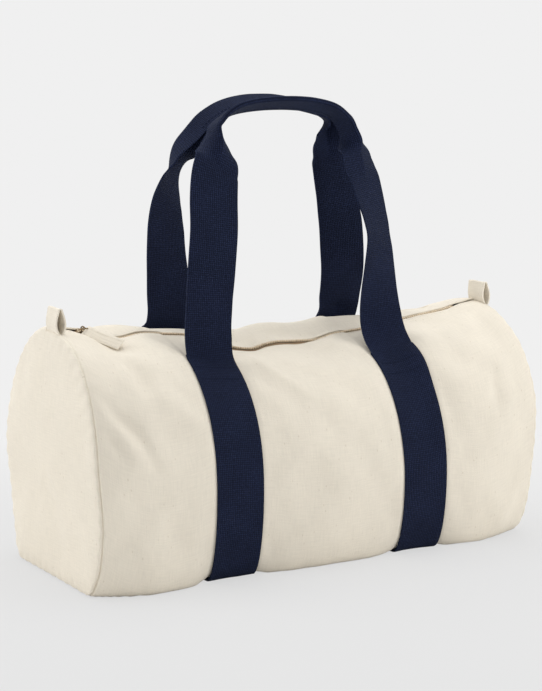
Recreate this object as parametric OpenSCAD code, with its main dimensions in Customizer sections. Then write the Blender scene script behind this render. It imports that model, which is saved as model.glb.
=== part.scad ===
// Barrel bag of heavy canvas with two webbing handles and a zip along the top.
// X runs along the bag, -Y is the front, Z is up, and the bag stands on the plane z = 0.

/* [Body] */
// Distance between the two end seams
body_len = 502; // [470:1:540]
// Width of an end panel at its widest
end_w = 215; // [200:1:230]
// Height of an end panel above the floor
end_h = 240; // [228:1:252]
// Thickness of the canvas where it is turned and sewn
canvas_t = 1.6; // [1.2:0.1:1.8]
// How far an end panel domes outwards
end_dome = 6; // [2:0.5:12]
// Gap left between pieces that are sewn together
sew_gap = 0.3; // [0.2:0.05:0.4]
// Width of the binding over the seam inside each end
binding_w = 11; // [8:0.5:14]
// Thickness of that binding
binding_t = 1.6; // [1:0.1:2]

/* [Webbing] */
// Width of the webbing
web_w = 50; // [44:1:54]
// Thickness of the webbing
web_t = 1.8; // [1.4:0.1:2.2]
// Distance between the middles of the two straps
strap_spacing = 213; // [205:1:221]
// Distance from the zip line to the end of a strap's sewn length at the front
strap_end_front = 50; // [47:0.5:54]
// The same distance at the back
strap_end_back = 56; // [53:0.5:60]
// Radius of the sewing thread
thread_r = 0.4; // [0.3:0.05:0.5]
// Distance, across the bag, between the two rows of thread that hold a strap's end
row_spacing = 24; // [18:1:30]
// Distance of the first row from the strap's end
row_inset = 6; // [4:0.5:10]
// How far a row of thread stops short of the webbing's edge
row_margin = 3.5; // [2:0.5:6]

/* [Handles] */
// Height of the front grip's middle above the floor
grip_front_h = 445; // [400:1:480]
// Height of the back grip's middle above the floor
grip_back_h = 451; // [406:1:486]
// Distance of the front grip's folded edge from the zip line
grip_front_y = 25; // [20:0.5:30]
// Distance of the back grip's folded edge from the zip line
grip_back_y = 34; // [29:0.5:40]
// Gap between the two halves of a folded grip
fold_gap = 1.8; // [1:0.1:3]
// Tilt of a grip's flat side towards the front and the back
grip_tilt = 25; // [0:1:35]
// Distance of the grip's row of thread from its folded edge
grip_row = 20; // [16:0.5:22]

/* [Zip] */
// How far the zip line sags below the end panels' tops
zip_sag = 29; // [27:0.5:32]
// Place of that lowest point along the bag
zip_low_x = 8; // [4:1:12]
// Distance of the zip tapes' ends from the end seams
zip_end_gap = 27; // [26:0.5:36]
// Width of one row of teeth
tooth_w = 2.8; // [2.2:0.1:3]
// Height of the teeth
tooth_h = 2.6; // [2:0.1:2.8]
// Gap between the two rows of teeth, which the slider's post runs in
row_gap = 0.9; // [0.8:0.05:1.2]
// Thickness of a zip tape
tape_t = 0.7; // [0.5:0.05:0.8]
// Distance of a tape's outer edge from the zip line
tape_reach = 14; // [12:0.5:15]
// How far the front tape's outer edge hangs below its teeth
front_drop = 3.6; // [3.4:0.1:4]
// How far the back tape's outer edge hangs below its teeth
back_drop = 1.4; // [1.2:0.1:2]
// Height of the canvas edges above the zip line
edge_rise = 2.6; // [2.5:0.1:3.2]
// Distance of each canvas edge from the zip line
edge_y = 5.2; // [5:0.1:6]
// Length of the metal stops at the ends of the teeth
stop_len = 2.4; // [1.5:0.1:3]

/* [Slider and pull] */
// Gap between the closed slider and the stop on its left
slider_stop_gap = 1.5; // [0.5:0.5:6]
// Length of the slider
slider_len = 9.5; // [8:0.5:11]
// Width of the slider
slider_w = 8.6; // [8.2:0.1:8.8]
// Thickness of the slider's plates
slider_plate_t = 1; // [0.8:0.1:1.3]
// Running gap round the teeth and the tapes
slider_gap = 0.3; // [0.25:0.01:0.32]
// Thickness of the post between the rows of teeth
post_t = 0.4; // [0.3:0.05:0.45]
// Radius of the eye on the slider, at the middle of its wire
eye_r = 2.6; // [2.4:0.1:3]
// Radius of the wire of the eye and of the pull's link
wire_r = 0.6; // [0.5:0.05:0.65]
// Length of the pull's link
link_len = 5.7; // [5.5:0.1:7]
// Angle between the link and the canvas pull
link_rise = 32; // [28:1:40]
// Length of the link's cross bar
bar_len = 14; // [13.5:0.5:16]
// Length of the canvas pull
tab_len = 38; // [30:1:40]
// Width of the canvas pull
tab_w = 11; // [9:0.5:12]
// Thickness of the canvas pull
tab_t = 2.2; // [1.6:0.1:2.6]

/* [Mouth] */
// Length of the part of the mouth that opens, between the straps
mouth_len = 124; // [100:1:132]
// Distance from the zip line to the line that each mouth edge turns on
mouth_y = 32; // [28:0.5:34]
// Room behind the back mouth edge for the canvas that turns with it
ridge_room = 7; // [6:0.5:9]

/* [End loops] */
// Height of a loop above the end seam
loop_h = 20; // [16:0.5:26]
// Width of the canvas strip that a loop is folded from
loop_w = 27; // [22:0.5:32]
// Widest opening of a loop's eye
loop_eye = 6; // [5.4:0.1:7]
// Thickness of the strip
loop_t = 1.8; // [1.2:0.1:2.2]
// Distance of the left loop's middle in front of the zip line
loop_left_y = 15; // [10:1:16]
// Distance of the right loop's middle in front of the zip line
loop_right_y = 6; // [2:1:14]

/* [Hidden] */

canvas_colour = [0.86, 0.82, 0.74];
webbing_colour = [0.12, 0.15, 0.24];
brass_colour = [0.45, 0.36, 0.24];
thread_colour = [0.16, 0.19, 0.30];
tape_colour = [0.80, 0.75, 0.66];

half_len = body_len / 2;
half_w = end_w / 2;
strap_x = strap_spacing / 2;
strap_out = strap_x + web_w / 2;
strap_in = strap_x - web_w / 2;
strap_lift = sew_gap + web_t;
mouth_x = mouth_len / 2;
zip_low_h = end_h - zip_sag;
zip_sag_r = (pow(half_len, 2) + pow(zip_sag, 2)) / (2 * zip_sag);
zip_half = half_len - zip_end_gap;
teeth_half = zip_half - 2 * stop_len;
slider_x = -teeth_half + slider_len / 2 + slider_stop_gap;

// Each row of shares gives one cross-section: the height of the shell's top at the front and the
// back, the half width of the belly at the front and the back, the height of the belly, the half
// width of the foot at the front and the back, and the roundness at the front and the back.
// Heights are shares of end_h and widths are shares of half of end_w.
end_left_shares = [1, 1, 1, 1, 0.41, 0.725, 0.725, 2.4, 2];
bulge_left_shares = [0.942, 0.983, 1.098, 1.079, 0.342, 0.967, 0.93, 2.3, 2.2];
strap_left_shares = [0.894, 0.992, 1.023, 1.023, 0.367, 0.79, 0.79, 2.2, 2.2];
bulge_mid_shares = [0.863, 0.938, 1.07, 1.06, 0.325, 0.912, 0.912, 2.4, 2.4];
strap_right_shares = [0.892, 0.983, 1.033, 1.033, 0.317, 0.8, 0.8, 1.9, 2.2];
bulge_right_shares = [0.933, 0.975, 1.088, 1.07, 0.338, 0.94, 0.912, 2.1, 2.2];
end_right_shares = [1, 1, 1, 1, 0.41, 0.705, 0.705, 2, 2];
// Where the three bulges between the seams and the straps stand out most, as shares of half_len
bulge_left_x = -0.777 * half_len;
bulge_mid_x = -0.04 * half_len;
bulge_right_x = 0.757 * half_len;

// How far the canvas beside the zip takes part in the zip line's sag
valley_y = 22;
// Length over which the canvas comes down from a strap's underside to the floor
lift_len = 12;

function mix(a, b, t) = a + (b - a) * t;
function unit(v) = v / norm(v);
function clamp01(t) = min(1, max(0, t));

// From 0 where the canvas is pinched by a seam or strap to 1 where it bulges most
function bulge(x, pinch_x, bulge_x) = sin(90 * (x - pinch_x) / (bulge_x - pinch_x));

function shares_at(x) =
    x <= bulge_left_x ? mix(end_left_shares, bulge_left_shares, bulge(x, -half_len, bulge_left_x)) :
    x <= -strap_out ? mix(strap_left_shares, bulge_left_shares, bulge(x, -strap_out, bulge_left_x)) :
    x <= -strap_in ? strap_left_shares :
    x <= bulge_mid_x ? mix(strap_left_shares, bulge_mid_shares, bulge(x, -strap_in, bulge_mid_x)) :
    x <= strap_in ? mix(strap_right_shares, bulge_mid_shares, bulge(x, strap_in, bulge_mid_x)) :
    x <= strap_out ? strap_right_shares :
    x <= bulge_right_x ? mix(strap_right_shares, bulge_right_shares, bulge(x, strap_out, bulge_right_x)) :
    mix(end_right_shares, bulge_right_shares, bulge(x, half_len, bulge_right_x));

// The front side is -1 and the back side is 1, and out is an offset outwards from the canvas face
function share(x, side, column) = shares_at(x)[side < 0 ? column : column + 1];
function shell_z(x, side) = end_h * share(x, side, 0);
function belly_y(x, side) = half_w * share(x, side, 2);
function belly_z(x) = end_h * shares_at(x)[4];
function foot_y(x, side) = half_w * share(x, side, 5);
function roundness(x, side) = share(x, side, 7);
function lift(x) =
    strap_lift * clamp01(1 - min(abs(abs(x) - strap_in), abs(abs(x) - strap_out)) / lift_len);
function floor_z(x) = abs(x) > strap_in && abs(x) < strap_out ? strap_lift : lift(x);

// Height of the zip line, an arc round an axis high above the bag
function zip_z(x) = zip_low_h + zip_sag_r - sqrt(pow(zip_sag_r, 2) - pow(x - zip_low_x, 2));
function zip_fade(x) = clamp01((half_len - abs(x)) / (half_len - zip_half - stop_len));

function top_z(x, side, y, out) =
    let (n = roundness(x, side), w = belly_y(x, side) + out, b = belly_z(x), s = shell_z(x, side) + out)
    b + (s - b) * pow(1 - pow(y / w, n), 1 / n)
    + (zip_z(x) + edge_rise + out - s) * exp(-pow(y / valley_y, 2)) * zip_fade(x);

// A line along the bag is one of four kinds, and its value is a distance, an angle or a share
function section_point(x, side, line, out) =
    let (n = roundness(x, side), w = belly_y(x, side) + out, b = belly_z(x), a = line[1])
    let (s = shell_z(x, side) + out, f = foot_y(x, side), z0 = floor_z(x) - out)
    line[0] == "across" ? [x, side * a, top_z(x, side, a, out)] :
    line[0] == "shoulder" ? [x, side * w * pow(sin(a), 2 / n), b + (s - b) * pow(cos(a), 2 / n)] :
    line[0] == "under" ? [x, side * (f + (w - f) * cos(a)), b - (b - z0) * sin(a)] :
    [x, side * f * a, z0];

shoulder_lines = [for (a = [39, 47, 55, 63, 71, 80, 90]) ["shoulder", a]];
under_lines = [for (a = [18, 36, 54, 72, 90]) ["under", a]];
low_lines = concat([["across", strap_end_front + 4 * sew_gap]], shoulder_lines, under_lines, [["sole", 0.5]]);
front_window_y = mouth_y + sew_gap;
back_window_y = mouth_y + ridge_room;
body_lines = concat([for (y = [edge_y, tape_reach, mix(tape_reach, mouth_y, 0.5), front_window_y,
    back_window_y]) ["across", y]], low_lines);

// One cross-section from the front's first line round the floor to the back's first line
function section(x, lines, out) = concat(
    [for (line = lines) section_point(x, -1, line, out)],
    [section_point(x, 1, ["sole", 0], out)],
    [for (i = [len(lines) - 1 : -1 : 0]) section_point(x, 1, lines[i], out)]);

function steps(a, b, n) = [for (i = [0 : n - 1]) mix(a, b, i / n)];
body_xs = concat(
    steps(-half_len, bulge_left_x, 4), steps(bulge_left_x, -strap_out, 3), [-strap_out],
    [-strap_in], steps(-mouth_x - sew_gap, bulge_mid_x, 3), steps(bulge_mid_x, mouth_x + sew_gap, 4),
    [mouth_x + sew_gap, strap_in],
    steps(strap_out, bulge_right_x, 3), steps(bulge_right_x, half_len, 4), [half_len]);

// The two triangles of each four-cornered face
function tri(q) = [[q[0], q[1], q[2]], [q[0], q[2], q[3]]];
function tris(quads) = [for (q = quads) each tri(q)];

// A closed shell over a grid of cells: outer and inner faces, and a wall at each open side of a cell
module grid_shell(outer, inner, is_open = function (i, j) false) {
    nx = len(outer);
    ny = len(outer[0]);
    function id(i, j, k) = (k * nx + i) * ny + j;
    function present(i, j) = i >= 0 && i < nx - 1 && j >= 0 && j < ny - 1
        && !is_open(i, j);
    cells = [for (i = [0 : nx - 2], j = [0 : ny - 2]) if (present(i, j)) [i, j]];
    skin = [for (c = cells) let (i = c[0], j = c[1])
        each [[id(i, j, 0), id(i + 1, j, 0), id(i + 1, j + 1, 0), id(i, j + 1, 0)],
            [id(i, j + 1, 1), id(i + 1, j + 1, 1), id(i + 1, j, 1), id(i, j, 1)]]];
    walls = [for (c = cells) let (i = c[0], j = c[1]) each [
        if (!present(i, j - 1)) [id(i + 1, j, 0), id(i, j, 0), id(i, j, 1), id(i + 1, j, 1)],
        if (!present(i + 1, j)) [id(i + 1, j + 1, 0), id(i + 1, j, 0), id(i + 1, j, 1), id(i + 1, j + 1, 1)],
        if (!present(i, j + 1)) [id(i, j + 1, 0), id(i + 1, j + 1, 0), id(i + 1, j + 1, 1), id(i, j + 1, 1)],
        if (!present(i - 1, j)) [id(i, j, 0), id(i, j + 1, 0), id(i, j + 1, 1), id(i, j, 1)]]];
    polyhedron([for (grid = [outer, inner], row = grid, p = row) p], tris(concat(skin, walls)));
}

// A closed tube or bar through a list of rings that all have the same number of points
module ring_solid(rings) {
    n = len(rings[0]);
    last = len(rings) - 1;
    sides = [for (i = [0 : last - 1], j = [0 : n - 1])
        [i * n + j, i * n + (j + 1) % n, (i + 1) * n + (j + 1) % n, (i + 1) * n + j]];
    function cap(first, i) = [first + i, first + i + 1, first + n - 2 - i, first + n - 1 - i];
    ends = [for (i = [0 : n / 2 - 2]) each [cap(last * n, i), [for (k = [3 : -1 : 0]) cap(0, i)[k]]]];
    polyhedron([for (ring = rings, p = ring) p], tris(concat(sides, ends)));
}

// Body panel
module body_panel() {
    front_n = len([for (line = body_lines) if (line[0] == "across" && line[1] < front_window_y) 1]);
    back_n = len([for (line = body_lines) if (line[0] == "across" && line[1] < back_window_y) 1]);
    function in_mouth(i) = body_xs[i] > -mouth_x - 2 * sew_gap && body_xs[i + 1] < mouth_x + 2 * sew_gap;
    bottom = len(body_lines);
    is_open = function (i, j) in_mouth(i) && (j < front_n || j >= 2 * bottom - back_n);
    color(canvas_colour)
    grid_shell([for (x = body_xs) section(x, body_lines, 0)],
        [for (x = body_xs) section(x, body_lines, -canvas_t)], is_open);
}

// End panels
outline_lines = concat([for (y = [0, tape_reach, mouth_y]) ["across", y]], low_lines);
function outline(x, out) = let (ring = section(x, outline_lines, out)) [for (i = [0 : len(ring) - 2]) ring[i]];

module end_panel(side) {
    rim = outline(side * half_len, -canvas_t - sew_gap);
    middle_z = end_h * end_left_shares[4];
    ring_shares = [1, 0.8, 0.5, 0.2];
    function ring(share, t) = [for (p = rim)
        [side * (half_len - t + end_dome * (1 - share * share)), p[1] * share, mix(middle_z, p[2], share)]];
    rings = concat([for (s = ring_shares) ring(s, 0)],
        [for (i = [len(ring_shares) - 1 : -1 : 0]) ring(ring_shares[i], canvas_t)]);
    loop = concat(rings, [rings[0]]);
    n = len(rim);
    quads = [for (i = [0 : len(rings) - 1], j = [0 : n - 1]) if (i != len(ring_shares) - 1)
        let (a = i * n, b = ((i + 1) % len(rings)) * n, k = (j + 1) % n)
        side < 0 ? [a + j, b + j, b + k, a + k] : [a + j, a + k, b + k, b + j]];
    outer_start = (len(ring_shares) - 1) * n;
    inner_start = len(ring_shares) * n;
    outer_cap = [for (j = [0 : n - 1]) outer_start + (side < 0 ? n - 1 - j : j)];
    inner_cap = [for (j = [0 : n - 1]) inner_start + (side < 0 ? j : n - 1 - j)];
    color(canvas_colour)
    polyhedron([for (r = rings, p = r) p], concat(tris(quads), [outer_cap, inner_cap]));
}
module end_panel_left() { end_panel(-1); }
module end_panel_right() { end_panel(1); }

// Bindings over the seams inside the ends
module seam_binding(side) {
    near_x = half_len - canvas_t - sew_gap;
    out = -canvas_t - sew_gap;
    function edge(x, o) = outline(side * x, o);
    rings = [edge(near_x, out), edge(near_x - binding_w, out), edge(near_x - binding_w, out - binding_t),
        edge(near_x, out - binding_t)];
    n = len(rings[0]);
    quads = [for (i = [0 : 3], j = [0 : n - 1]) let (a = i * n, b = ((i + 1) % 4) * n, k = (j + 1) % n)
        side < 0 ? [a + j, b + j, b + k, a + k] : [a + j, a + k, b + k, b + j]];
    color(canvas_colour) polyhedron([for (r = rings, p = r) p], tris(quads));
}
module seam_binding_left() { seam_binding(-1); }
module seam_binding_right() { seam_binding(1); }

// Webbing sewn round the body
function yz(p) = [p[1], p[2]];
function strap_lines(end_y) = concat([["across", end_y]],
    [for (line = low_lines) if (line[0] != "across" || line[1] > end_y) line]);
function strap_face(x, out) = concat(
    [for (line = strap_lines(strap_end_front)) yz(section_point(x, -1, line, out))],
    [for (line = strap_lines(strap_end_back)) yz(section_point(x, 1, line, out))]);
module strap(x) {
    front_n = len(strap_lines(strap_end_front));
    function round_trip(face) = concat([for (i = [0 : front_n - 1]) face[i]],
        [for (i = [len(face) - 1 : -1 : front_n]) face[i]]);
    outer = round_trip(strap_face(x, strap_lift));
    inner = round_trip(strap_face(x, sew_gap));
    color(webbing_colour)
    translate([x - web_w / 2, 0, 0])
    rotate([90, 0, 90])
    linear_extrude(web_w)
    polygon(concat(outer, [for (i = [len(inner) - 1 : -1 : 0]) inner[i]]));
}
module strap_left() { strap(-strap_x); }
module strap_right() { strap(strap_x); }

// Rows of thread across the ends of the straps
module strap_stitching() {
    color(thread_colour)
    for (x = [-strap_x, strap_x], side = [-1, 1], row = [0, 1]) {
        y = (side < 0 ? strap_end_front : strap_end_back) + row_inset + row * row_spacing;
        p = section_point(x, side, ["across", y], strap_lift + thread_r + sew_gap / 2);
        translate([x - web_w / 2 + row_margin, p[1], p[2]])
        rotate([0, 90, 0])
        cylinder(h = web_w - 2 * row_margin, r = thread_r, $fn = 16);
    }
}

// The places where the handles leave the straps
function strap_root(x, side) = section_point(x, side, ["across", side < 0 ? strap_end_front : strap_end_back],
    strap_lift);

// A handle's route from its left root to its right root. Each row gives the distance along the bag
// as a share of strap_x, the way from the root to the grip's place across the bag and up as shares,
// the share to which the webbing is folded in half, and its turn about its own length in degrees.
front_left_shares = [
    [1, 0, 0.002, 0, 0], [1, -0.01, 0.05, 0, 0], [1, -0.02, 0.12, 0, 0], [0.98, -0.03, 0.23, 0, 0],
    [0.965, -0.02, 0.35, 0, 0], [0.945, 0.04, 0.47, 0, 0], [0.92, 0.1, 0.56, 0, 0], [0.88, 0.25, 0.655, 0.1, 0],
    [0.85, 0.38, 0.72, 0.25, 0], [0.81, 0.5, 0.79, 0.5, 0], [0.77, 0.65, 0.86, 0.8, 0],
    [0.72, 0.8, 0.92, 1, 0]];
front_right_shares = [
    [1, 0, 0.002, 0, 0], [1, 0.25, 0.05, 0, 0], [0.995, 0.4, 0.12, 0, 4], [0.985, 0.5, 0.23, 0, 15],
    [0.965, 0.45, 0.35, 0, 28], [0.94, 0.4, 0.47, 0, 32], [0.92, 0.45, 0.56, 0, 28],
    [0.875, 0.55, 0.67, 0.15, 20], [0.84, 0.75, 0.75, 0.35, 12], [0.8, 0.9, 0.82, 0.6, 5],
    [0.765, 1, 0.88, 0.85, 0], [0.72, 1, 0.93, 1, 0]];
back_left_shares = [
    [1, 0, 0.002, 0, 0], [1, 0.05, 0.06, 0, 0], [0.99, 0.1, 0.14, 0, 0], [0.98, 0.1, 0.25, 0, 0],
    [0.965, 0, 0.38, 0, 0], [0.94, -0.15, 0.5, 0.1, 0], [0.91, -0.18, 0.6, 0.2, 0],
    [0.87, -0.12, 0.68, 0.35, 0], [0.81, 0.1, 0.76, 0.6, 0], [0.74, 0.35, 0.84, 0.85, 0],
    [0.66, 0.6, 0.91, 1, 0]];
back_right_shares = [
    [1, 0, 0.002, 0, 0], [1, 0.2, 0.06, 0, 0], [1, 0.45, 0.14, 0, 0], [0.99, 0.6, 0.25, 0, 0],
    [0.975, 0.62, 0.38, 0, 0], [0.95, 0.6, 0.5, 0, 0], [0.915, 0.6, 0.6, 0.1, 0], [0.87, 0.55, 0.7, 0.3, 0],
    [0.83, 0.6, 0.78, 0.5, 0], [0.79, 0.7, 0.85, 0.8, 0], [0.73, 0.85, 0.92, 1, 0]];
grip_shares = [
    [-0.62, 1, 0.958, 1, 1], [-0.48, 1, 0.982, 1, 1], [-0.28, 1, 0.995, 1, 1], [0, 1, 1, 1, 1],
    [0.28, 1, 0.994, 1, 1], [0.48, 1, 0.979, 1, 1], [0.62, 1, 0.956, 1, 1]];

function route_point(root, grip, row, way) =
    [way * strap_x * row[0], mix(root[1], grip[0], row[1]), mix(root[2], grip[1], row[2])];
function route(side, left, right) =
    let (grip = side < 0 ? [-grip_front_y, grip_front_h] : [grip_back_y, grip_back_h])
    let (l = strap_root(-strap_x, side), r = strap_root(strap_x, side))
    let (inward = [0, -side * web_t / 2, 0])
    [for (p = concat(
        [for (row = left) route_point(l, grip, row, -1)],
        [for (row = grip_shares) route_point(mix(l, r, (row[0] + 1) / 2), grip, row, 1)],
        [for (i = [len(right) - 1 : -1 : 0]) route_point(r, grip, right[i], 1)])) p + inward];
function route_folds(left, right) = concat([for (row = left) row[3]], [for (row = grip_shares) row[3]],
    [for (i = [len(right) - 1 : -1 : 0]) right[i][3]]);
function route_turns(left, right) = concat([for (row = left) row[4]],
    [for (row = grip_shares) row[4] * grip_tilt], [for (i = [len(right) - 1 : -1 : 0]) right[i][4]]);

// The webbing's section: flat at fold 0, and two parallel halves at fold 1
function crease_half() = (fold_gap + web_t) / 2;
function fold_line(fold) = let (a = 90 * fold, r = crease_half(), h = web_w / 2 - r)
    [[-r - h * cos(a), h * sin(a)], [-r, 0], [r, 0], [r + h * cos(a), h * sin(a)]];
function line_normal(a, b) = let (d = unit(b - a)) [-d[1], d[0]];
function mitre(a, p, b) = let (m = line_normal(a, p), n = line_normal(p, b), s = unit(m + n)) s / (s * m);
function offset_line(line, d) = [for (i = [0 : len(line) - 1])
    line[i] + d * (i == 0 ? line_normal(line[0], line[1]) :
        i == len(line) - 1 ? line_normal(line[i - 1], line[i]) : mitre(line[i - 1], line[i], line[i + 1]))];
function web_section(fold) = let (line = fold_line(fold), low = offset_line(line, -web_t / 2),
    high = offset_line(line, web_t / 2))
    concat(low, [for (i = [len(high) - 1 : -1 : 0]) high[i]]);

// The frame at a point of a route: its direction, and the depth direction turned about it
function turned(v, axis, a) = v * cos(a) + cross(axis, v) * sin(a);
function way_at(path, i) = unit(path[min(i + 1, len(path) - 1)] - path[max(i - 1, 0)]);
function depth_at(path, i, side, turn) =
    let (t = way_at(path, i), y = [0, -side, 0], d = unit(y - (y * t) * t)) turned(d, t, turn);
function placed(path, i, side, turn, shape) =
    let (t = i == 0 || i == len(path) - 1 ? [0, 0, i == 0 ? 1 : -1] : way_at(path, i))
    let (y = [0, -side, 0], depth = turned(unit(y - (y * t) * t), t, turn), across = cross(depth, t))
    [for (p = shape) path[i] + p[0] * across + p[1] * depth];

module swept_web(side, left, right) {
    path = route(side, left, right);
    folds = route_folds(left, right);
    turns = route_turns(left, right);
    rings = [for (i = [0 : len(path) - 1]) placed(path, i, side, side < 0 ? -turns[i] : turns[i],
        web_section(folds[i]))];
    ring_solid(side < 0 ? rings : [for (i = [len(rings) - 1 : -1 : 0]) rings[i]]);
}
module handle_front() {
    color(webbing_colour) swept_web(-1, front_left_shares, front_right_shares);
}
module handle_back() {
    color(webbing_colour) swept_web(1, back_left_shares, back_right_shares);
}

// Rows of thread that hold the folded grips
module grip_stitching(side, left, right) {
    path = route(side, left, right);
    turns = route_turns(left, right);
    first = len(left);
    last = first + len(grip_shares) - 1;
    off = crease_half() + web_t / 2 + thread_r + sew_gap / 2;
    for (face = [-1, 1]) {
        square_row = [for (c = [[-1, -1], [1, -1], [1, 1], [-1, 1]])
            [face * off + thread_r * c[0], grip_row + thread_r * c[1]]];
        rings = [for (i = [first : last]) placed(path, i, side, side < 0 ? -turns[i] : turns[i], square_row)];
        ring_solid(side < 0 ? rings : [for (i = [len(rings) - 1 : -1 : 0]) rings[i]]);
    }
}
module grip_stitching_front() {
    color(thread_colour) grip_stitching(-1, front_left_shares, front_right_shares);
}
module grip_stitching_back() {
    color(thread_colour) grip_stitching(1, back_left_shares, back_right_shares);
}

// Mouth edges, which turn on the lines at mouth_y
edge_lines = [for (y = [edge_y, tape_reach, mix(tape_reach, mouth_y, 0.5), mouth_y]) ["across", y]];
mouth_xs = concat(steps(-mouth_x, bulge_mid_x, 3), steps(bulge_mid_x, mouth_x, 4), [mouth_x]);
module mouth_edge(side) {
    function strip(out) = [for (x = mouth_xs) [for (i = [0 : len(edge_lines) - 1])
        section_point(x, side, edge_lines[side < 0 ? i : len(edge_lines) - 1 - i], out)]];
    color(canvas_colour) grid_shell(strip(0), strip(-canvas_t));
}
module mouth_edge_front() { mouth_edge(-1); }
module mouth_edge_back() { mouth_edge(1); }

// Zip parts that follow the zip line, drawn as turns round its far axis
function zip_turn(x) = asin((x - zip_low_x) / zip_sag_r);
module zip_axis_frame() {
    translate([zip_low_x, 0, zip_low_h + zip_sag_r]) rotate([90, 0, 0]) children();
}
module along_zip(x0, x1, profile) {
    zip_axis_frame()
    rotate([0, 0, zip_turn(x0) - 90])
    rotate_extrude(angle = zip_turn(x1) - zip_turn(x0), $fn = 720)
    polygon([for (p = profile) [zip_sag_r - p[1], -p[0]]]);
}
module on_zip(x) {
    translate([zip_low_x, 0, zip_low_h + zip_sag_r])
    rotate([0, -zip_turn(x), 0])
    translate([0, 0, -zip_sag_r])
    children();
}

teeth_in = row_gap / 2;
teeth_out = teeth_in + tooth_w;
tape_knee = teeth_out + slider_plate_t + 2 * slider_gap;
module tape_half(side, x0, x1) {
    drop = side < 0 ? front_drop : back_drop;
    h = tape_t / 2;
    low = [[teeth_out, -h], [tape_knee, -h], [tape_reach, -h - drop]];
    high = [[tape_reach, h - drop], [tape_knee, h], [teeth_out, h]];
    color(tape_colour) along_zip(x0, x1, [for (p = concat(low, high)) [side * p[0], p[1]]]);
}
module teeth_half_row(side, x0, x1) {
    h = tooth_h / 2;
    color(brass_colour) along_zip(x0, x1, [for (p = [[teeth_in, -h], [teeth_out, -h], [teeth_out, h], [teeth_in, h]])
        [side * p[0], p[1]]]);
}
module zip_tape_front() { tape_half(-1, -mouth_x, mouth_x); }
module zip_tape_back() { tape_half(1, -mouth_x, mouth_x); }
module zip_teeth_front() { teeth_half_row(-1, -mouth_x, mouth_x); }
module zip_teeth_back() { teeth_half_row(1, -mouth_x, mouth_x); }
module zip_tape_left() { for (side = [-1, 1]) tape_half(side, -zip_half, -mouth_x - sew_gap); }
module zip_tape_right() { for (side = [-1, 1]) tape_half(side, mouth_x + sew_gap, zip_half); }
module zip_teeth_left() { for (side = [-1, 1]) teeth_half_row(side, -teeth_half, -mouth_x - sew_gap); }
module zip_teeth_right() { for (side = [-1, 1]) teeth_half_row(side, mouth_x + sew_gap, teeth_half); }

module zip_stop(x0, x1) {
    h = tooth_h / 2;
    color(brass_colour) along_zip(x0, x1, [[-teeth_out, -h], [teeth_out, -h], [teeth_out, h], [-teeth_out, h]]);
}
module zip_stop_left() { zip_stop(-teeth_half - stop_len, -teeth_half - sew_gap); }
module zip_stop_right() { zip_stop(teeth_half + sew_gap, teeth_half + stop_len); }

// Slider: two plates joined by a post between the rows of teeth, with an eye on top
plate_z = tooth_h / 2 + slider_gap;
lug_z = plate_z + slider_plate_t;
eye_z = lug_z + eye_r;
slider_nose_share = 0.62;
module slider_plate() {
    x = slider_len / 2;
    y = slider_w / 2;
    linear_extrude(slider_plate_t)
    polygon([[-x, -y * slider_nose_share], [-x / 2, -y], [x, -y], [x, y], [-x / 2, y], [-x, y * slider_nose_share]]);
}
module zip_slider() {
    wall_h = plate_z - tape_t / 2 - slider_gap;
    color(brass_colour)
    on_zip(slider_x) {
        union() {
            translate([0, 0, plate_z]) slider_plate();
            translate([0, 0, -lug_z]) slider_plate();
            translate([-slider_len / 4, -post_t / 2, -lug_z]) cube([slider_len / 4, post_t, 2 * lug_z]);
            for (side = [-1, 1], z = [plate_z - wall_h, -plate_z])
                translate([-slider_len / 4, side < 0 ? -slider_w / 2 : teeth_out + slider_gap, z])
                cube([slider_len / 2, slider_w / 2 - teeth_out - slider_gap, wall_h]);
            translate([0, 0, eye_z])
            multmatrix(pull_turn)
            rotate([-90, 0, 0])
            rotate_extrude($fn = 48) translate([eye_r, 0]) circle(r = wire_r, $fn = 24);
        }
    }
}

// The pull lies to the right and the front of the slider. Its frame has x along the canvas pull, y
// along the link's cross bar and z away from the bag's top.
pull_way = unit([0.484, -0.845, -0.23]);
bar_hint = [0.855, 0.4, 0.329];
bar_way = unit(bar_hint - (bar_hint * pull_way) * pull_way);
lift_way = cross(pull_way, bar_way);
pull_turn = [for (i = [0 : 2]) [pull_way[i], bar_way[i], lift_way[i], 0]];
module pull_frame() { on_zip(slider_x) translate([0, 0, eye_z]) multmatrix(pull_turn) children(); }
module link_frame() { pull_frame() rotate([0, -link_rise, 0]) children(); }

pin_half = tab_w / 2 + wire_r + sew_gap;
module rod(a, b) {
    d = b - a;
    translate(a)
    rotate([0, acos(d[2] / norm(d)), atan2(d[1], d[0])])
    cylinder(h = norm(d), r = wire_r, $fn = 24);
}
module zip_pull_link() {
    color(brass_colour)
    link_frame() {
        rod([0, -pin_half, 0], [0, pin_half, 0]);
        rod([link_len, -bar_len / 2, 0], [link_len, bar_len / 2, 0]);
        for (side = [-1, 1]) {
            rod([0, side * pin_half, 0], [link_len, side * pin_half, 0]);
            translate([link_len, side * bar_len / 2, 0]) sphere(r = 1.5 * wire_r, $fn = 24);
            translate([0, side * pin_half, 0]) sphere(r = wire_r, $fn = 24);
        }
    }
}
module zip_pull_tab() {
    bore_r = wire_r + sew_gap;
    color(canvas_colour)
    link_frame()
    translate([link_len, tab_w / 2, 0])
    rotate([0, link_rise, 0])
    rotate([90, 0, 0])
    linear_extrude(tab_w)
    difference() {
        union() {
            circle(r = bore_r + tab_t / 2, $fn = 48);
            translate([0, -tab_t / 2]) square([tab_len, tab_t]);
        }
        circle(r = bore_r, $fn = 48);
    }
}

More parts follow.
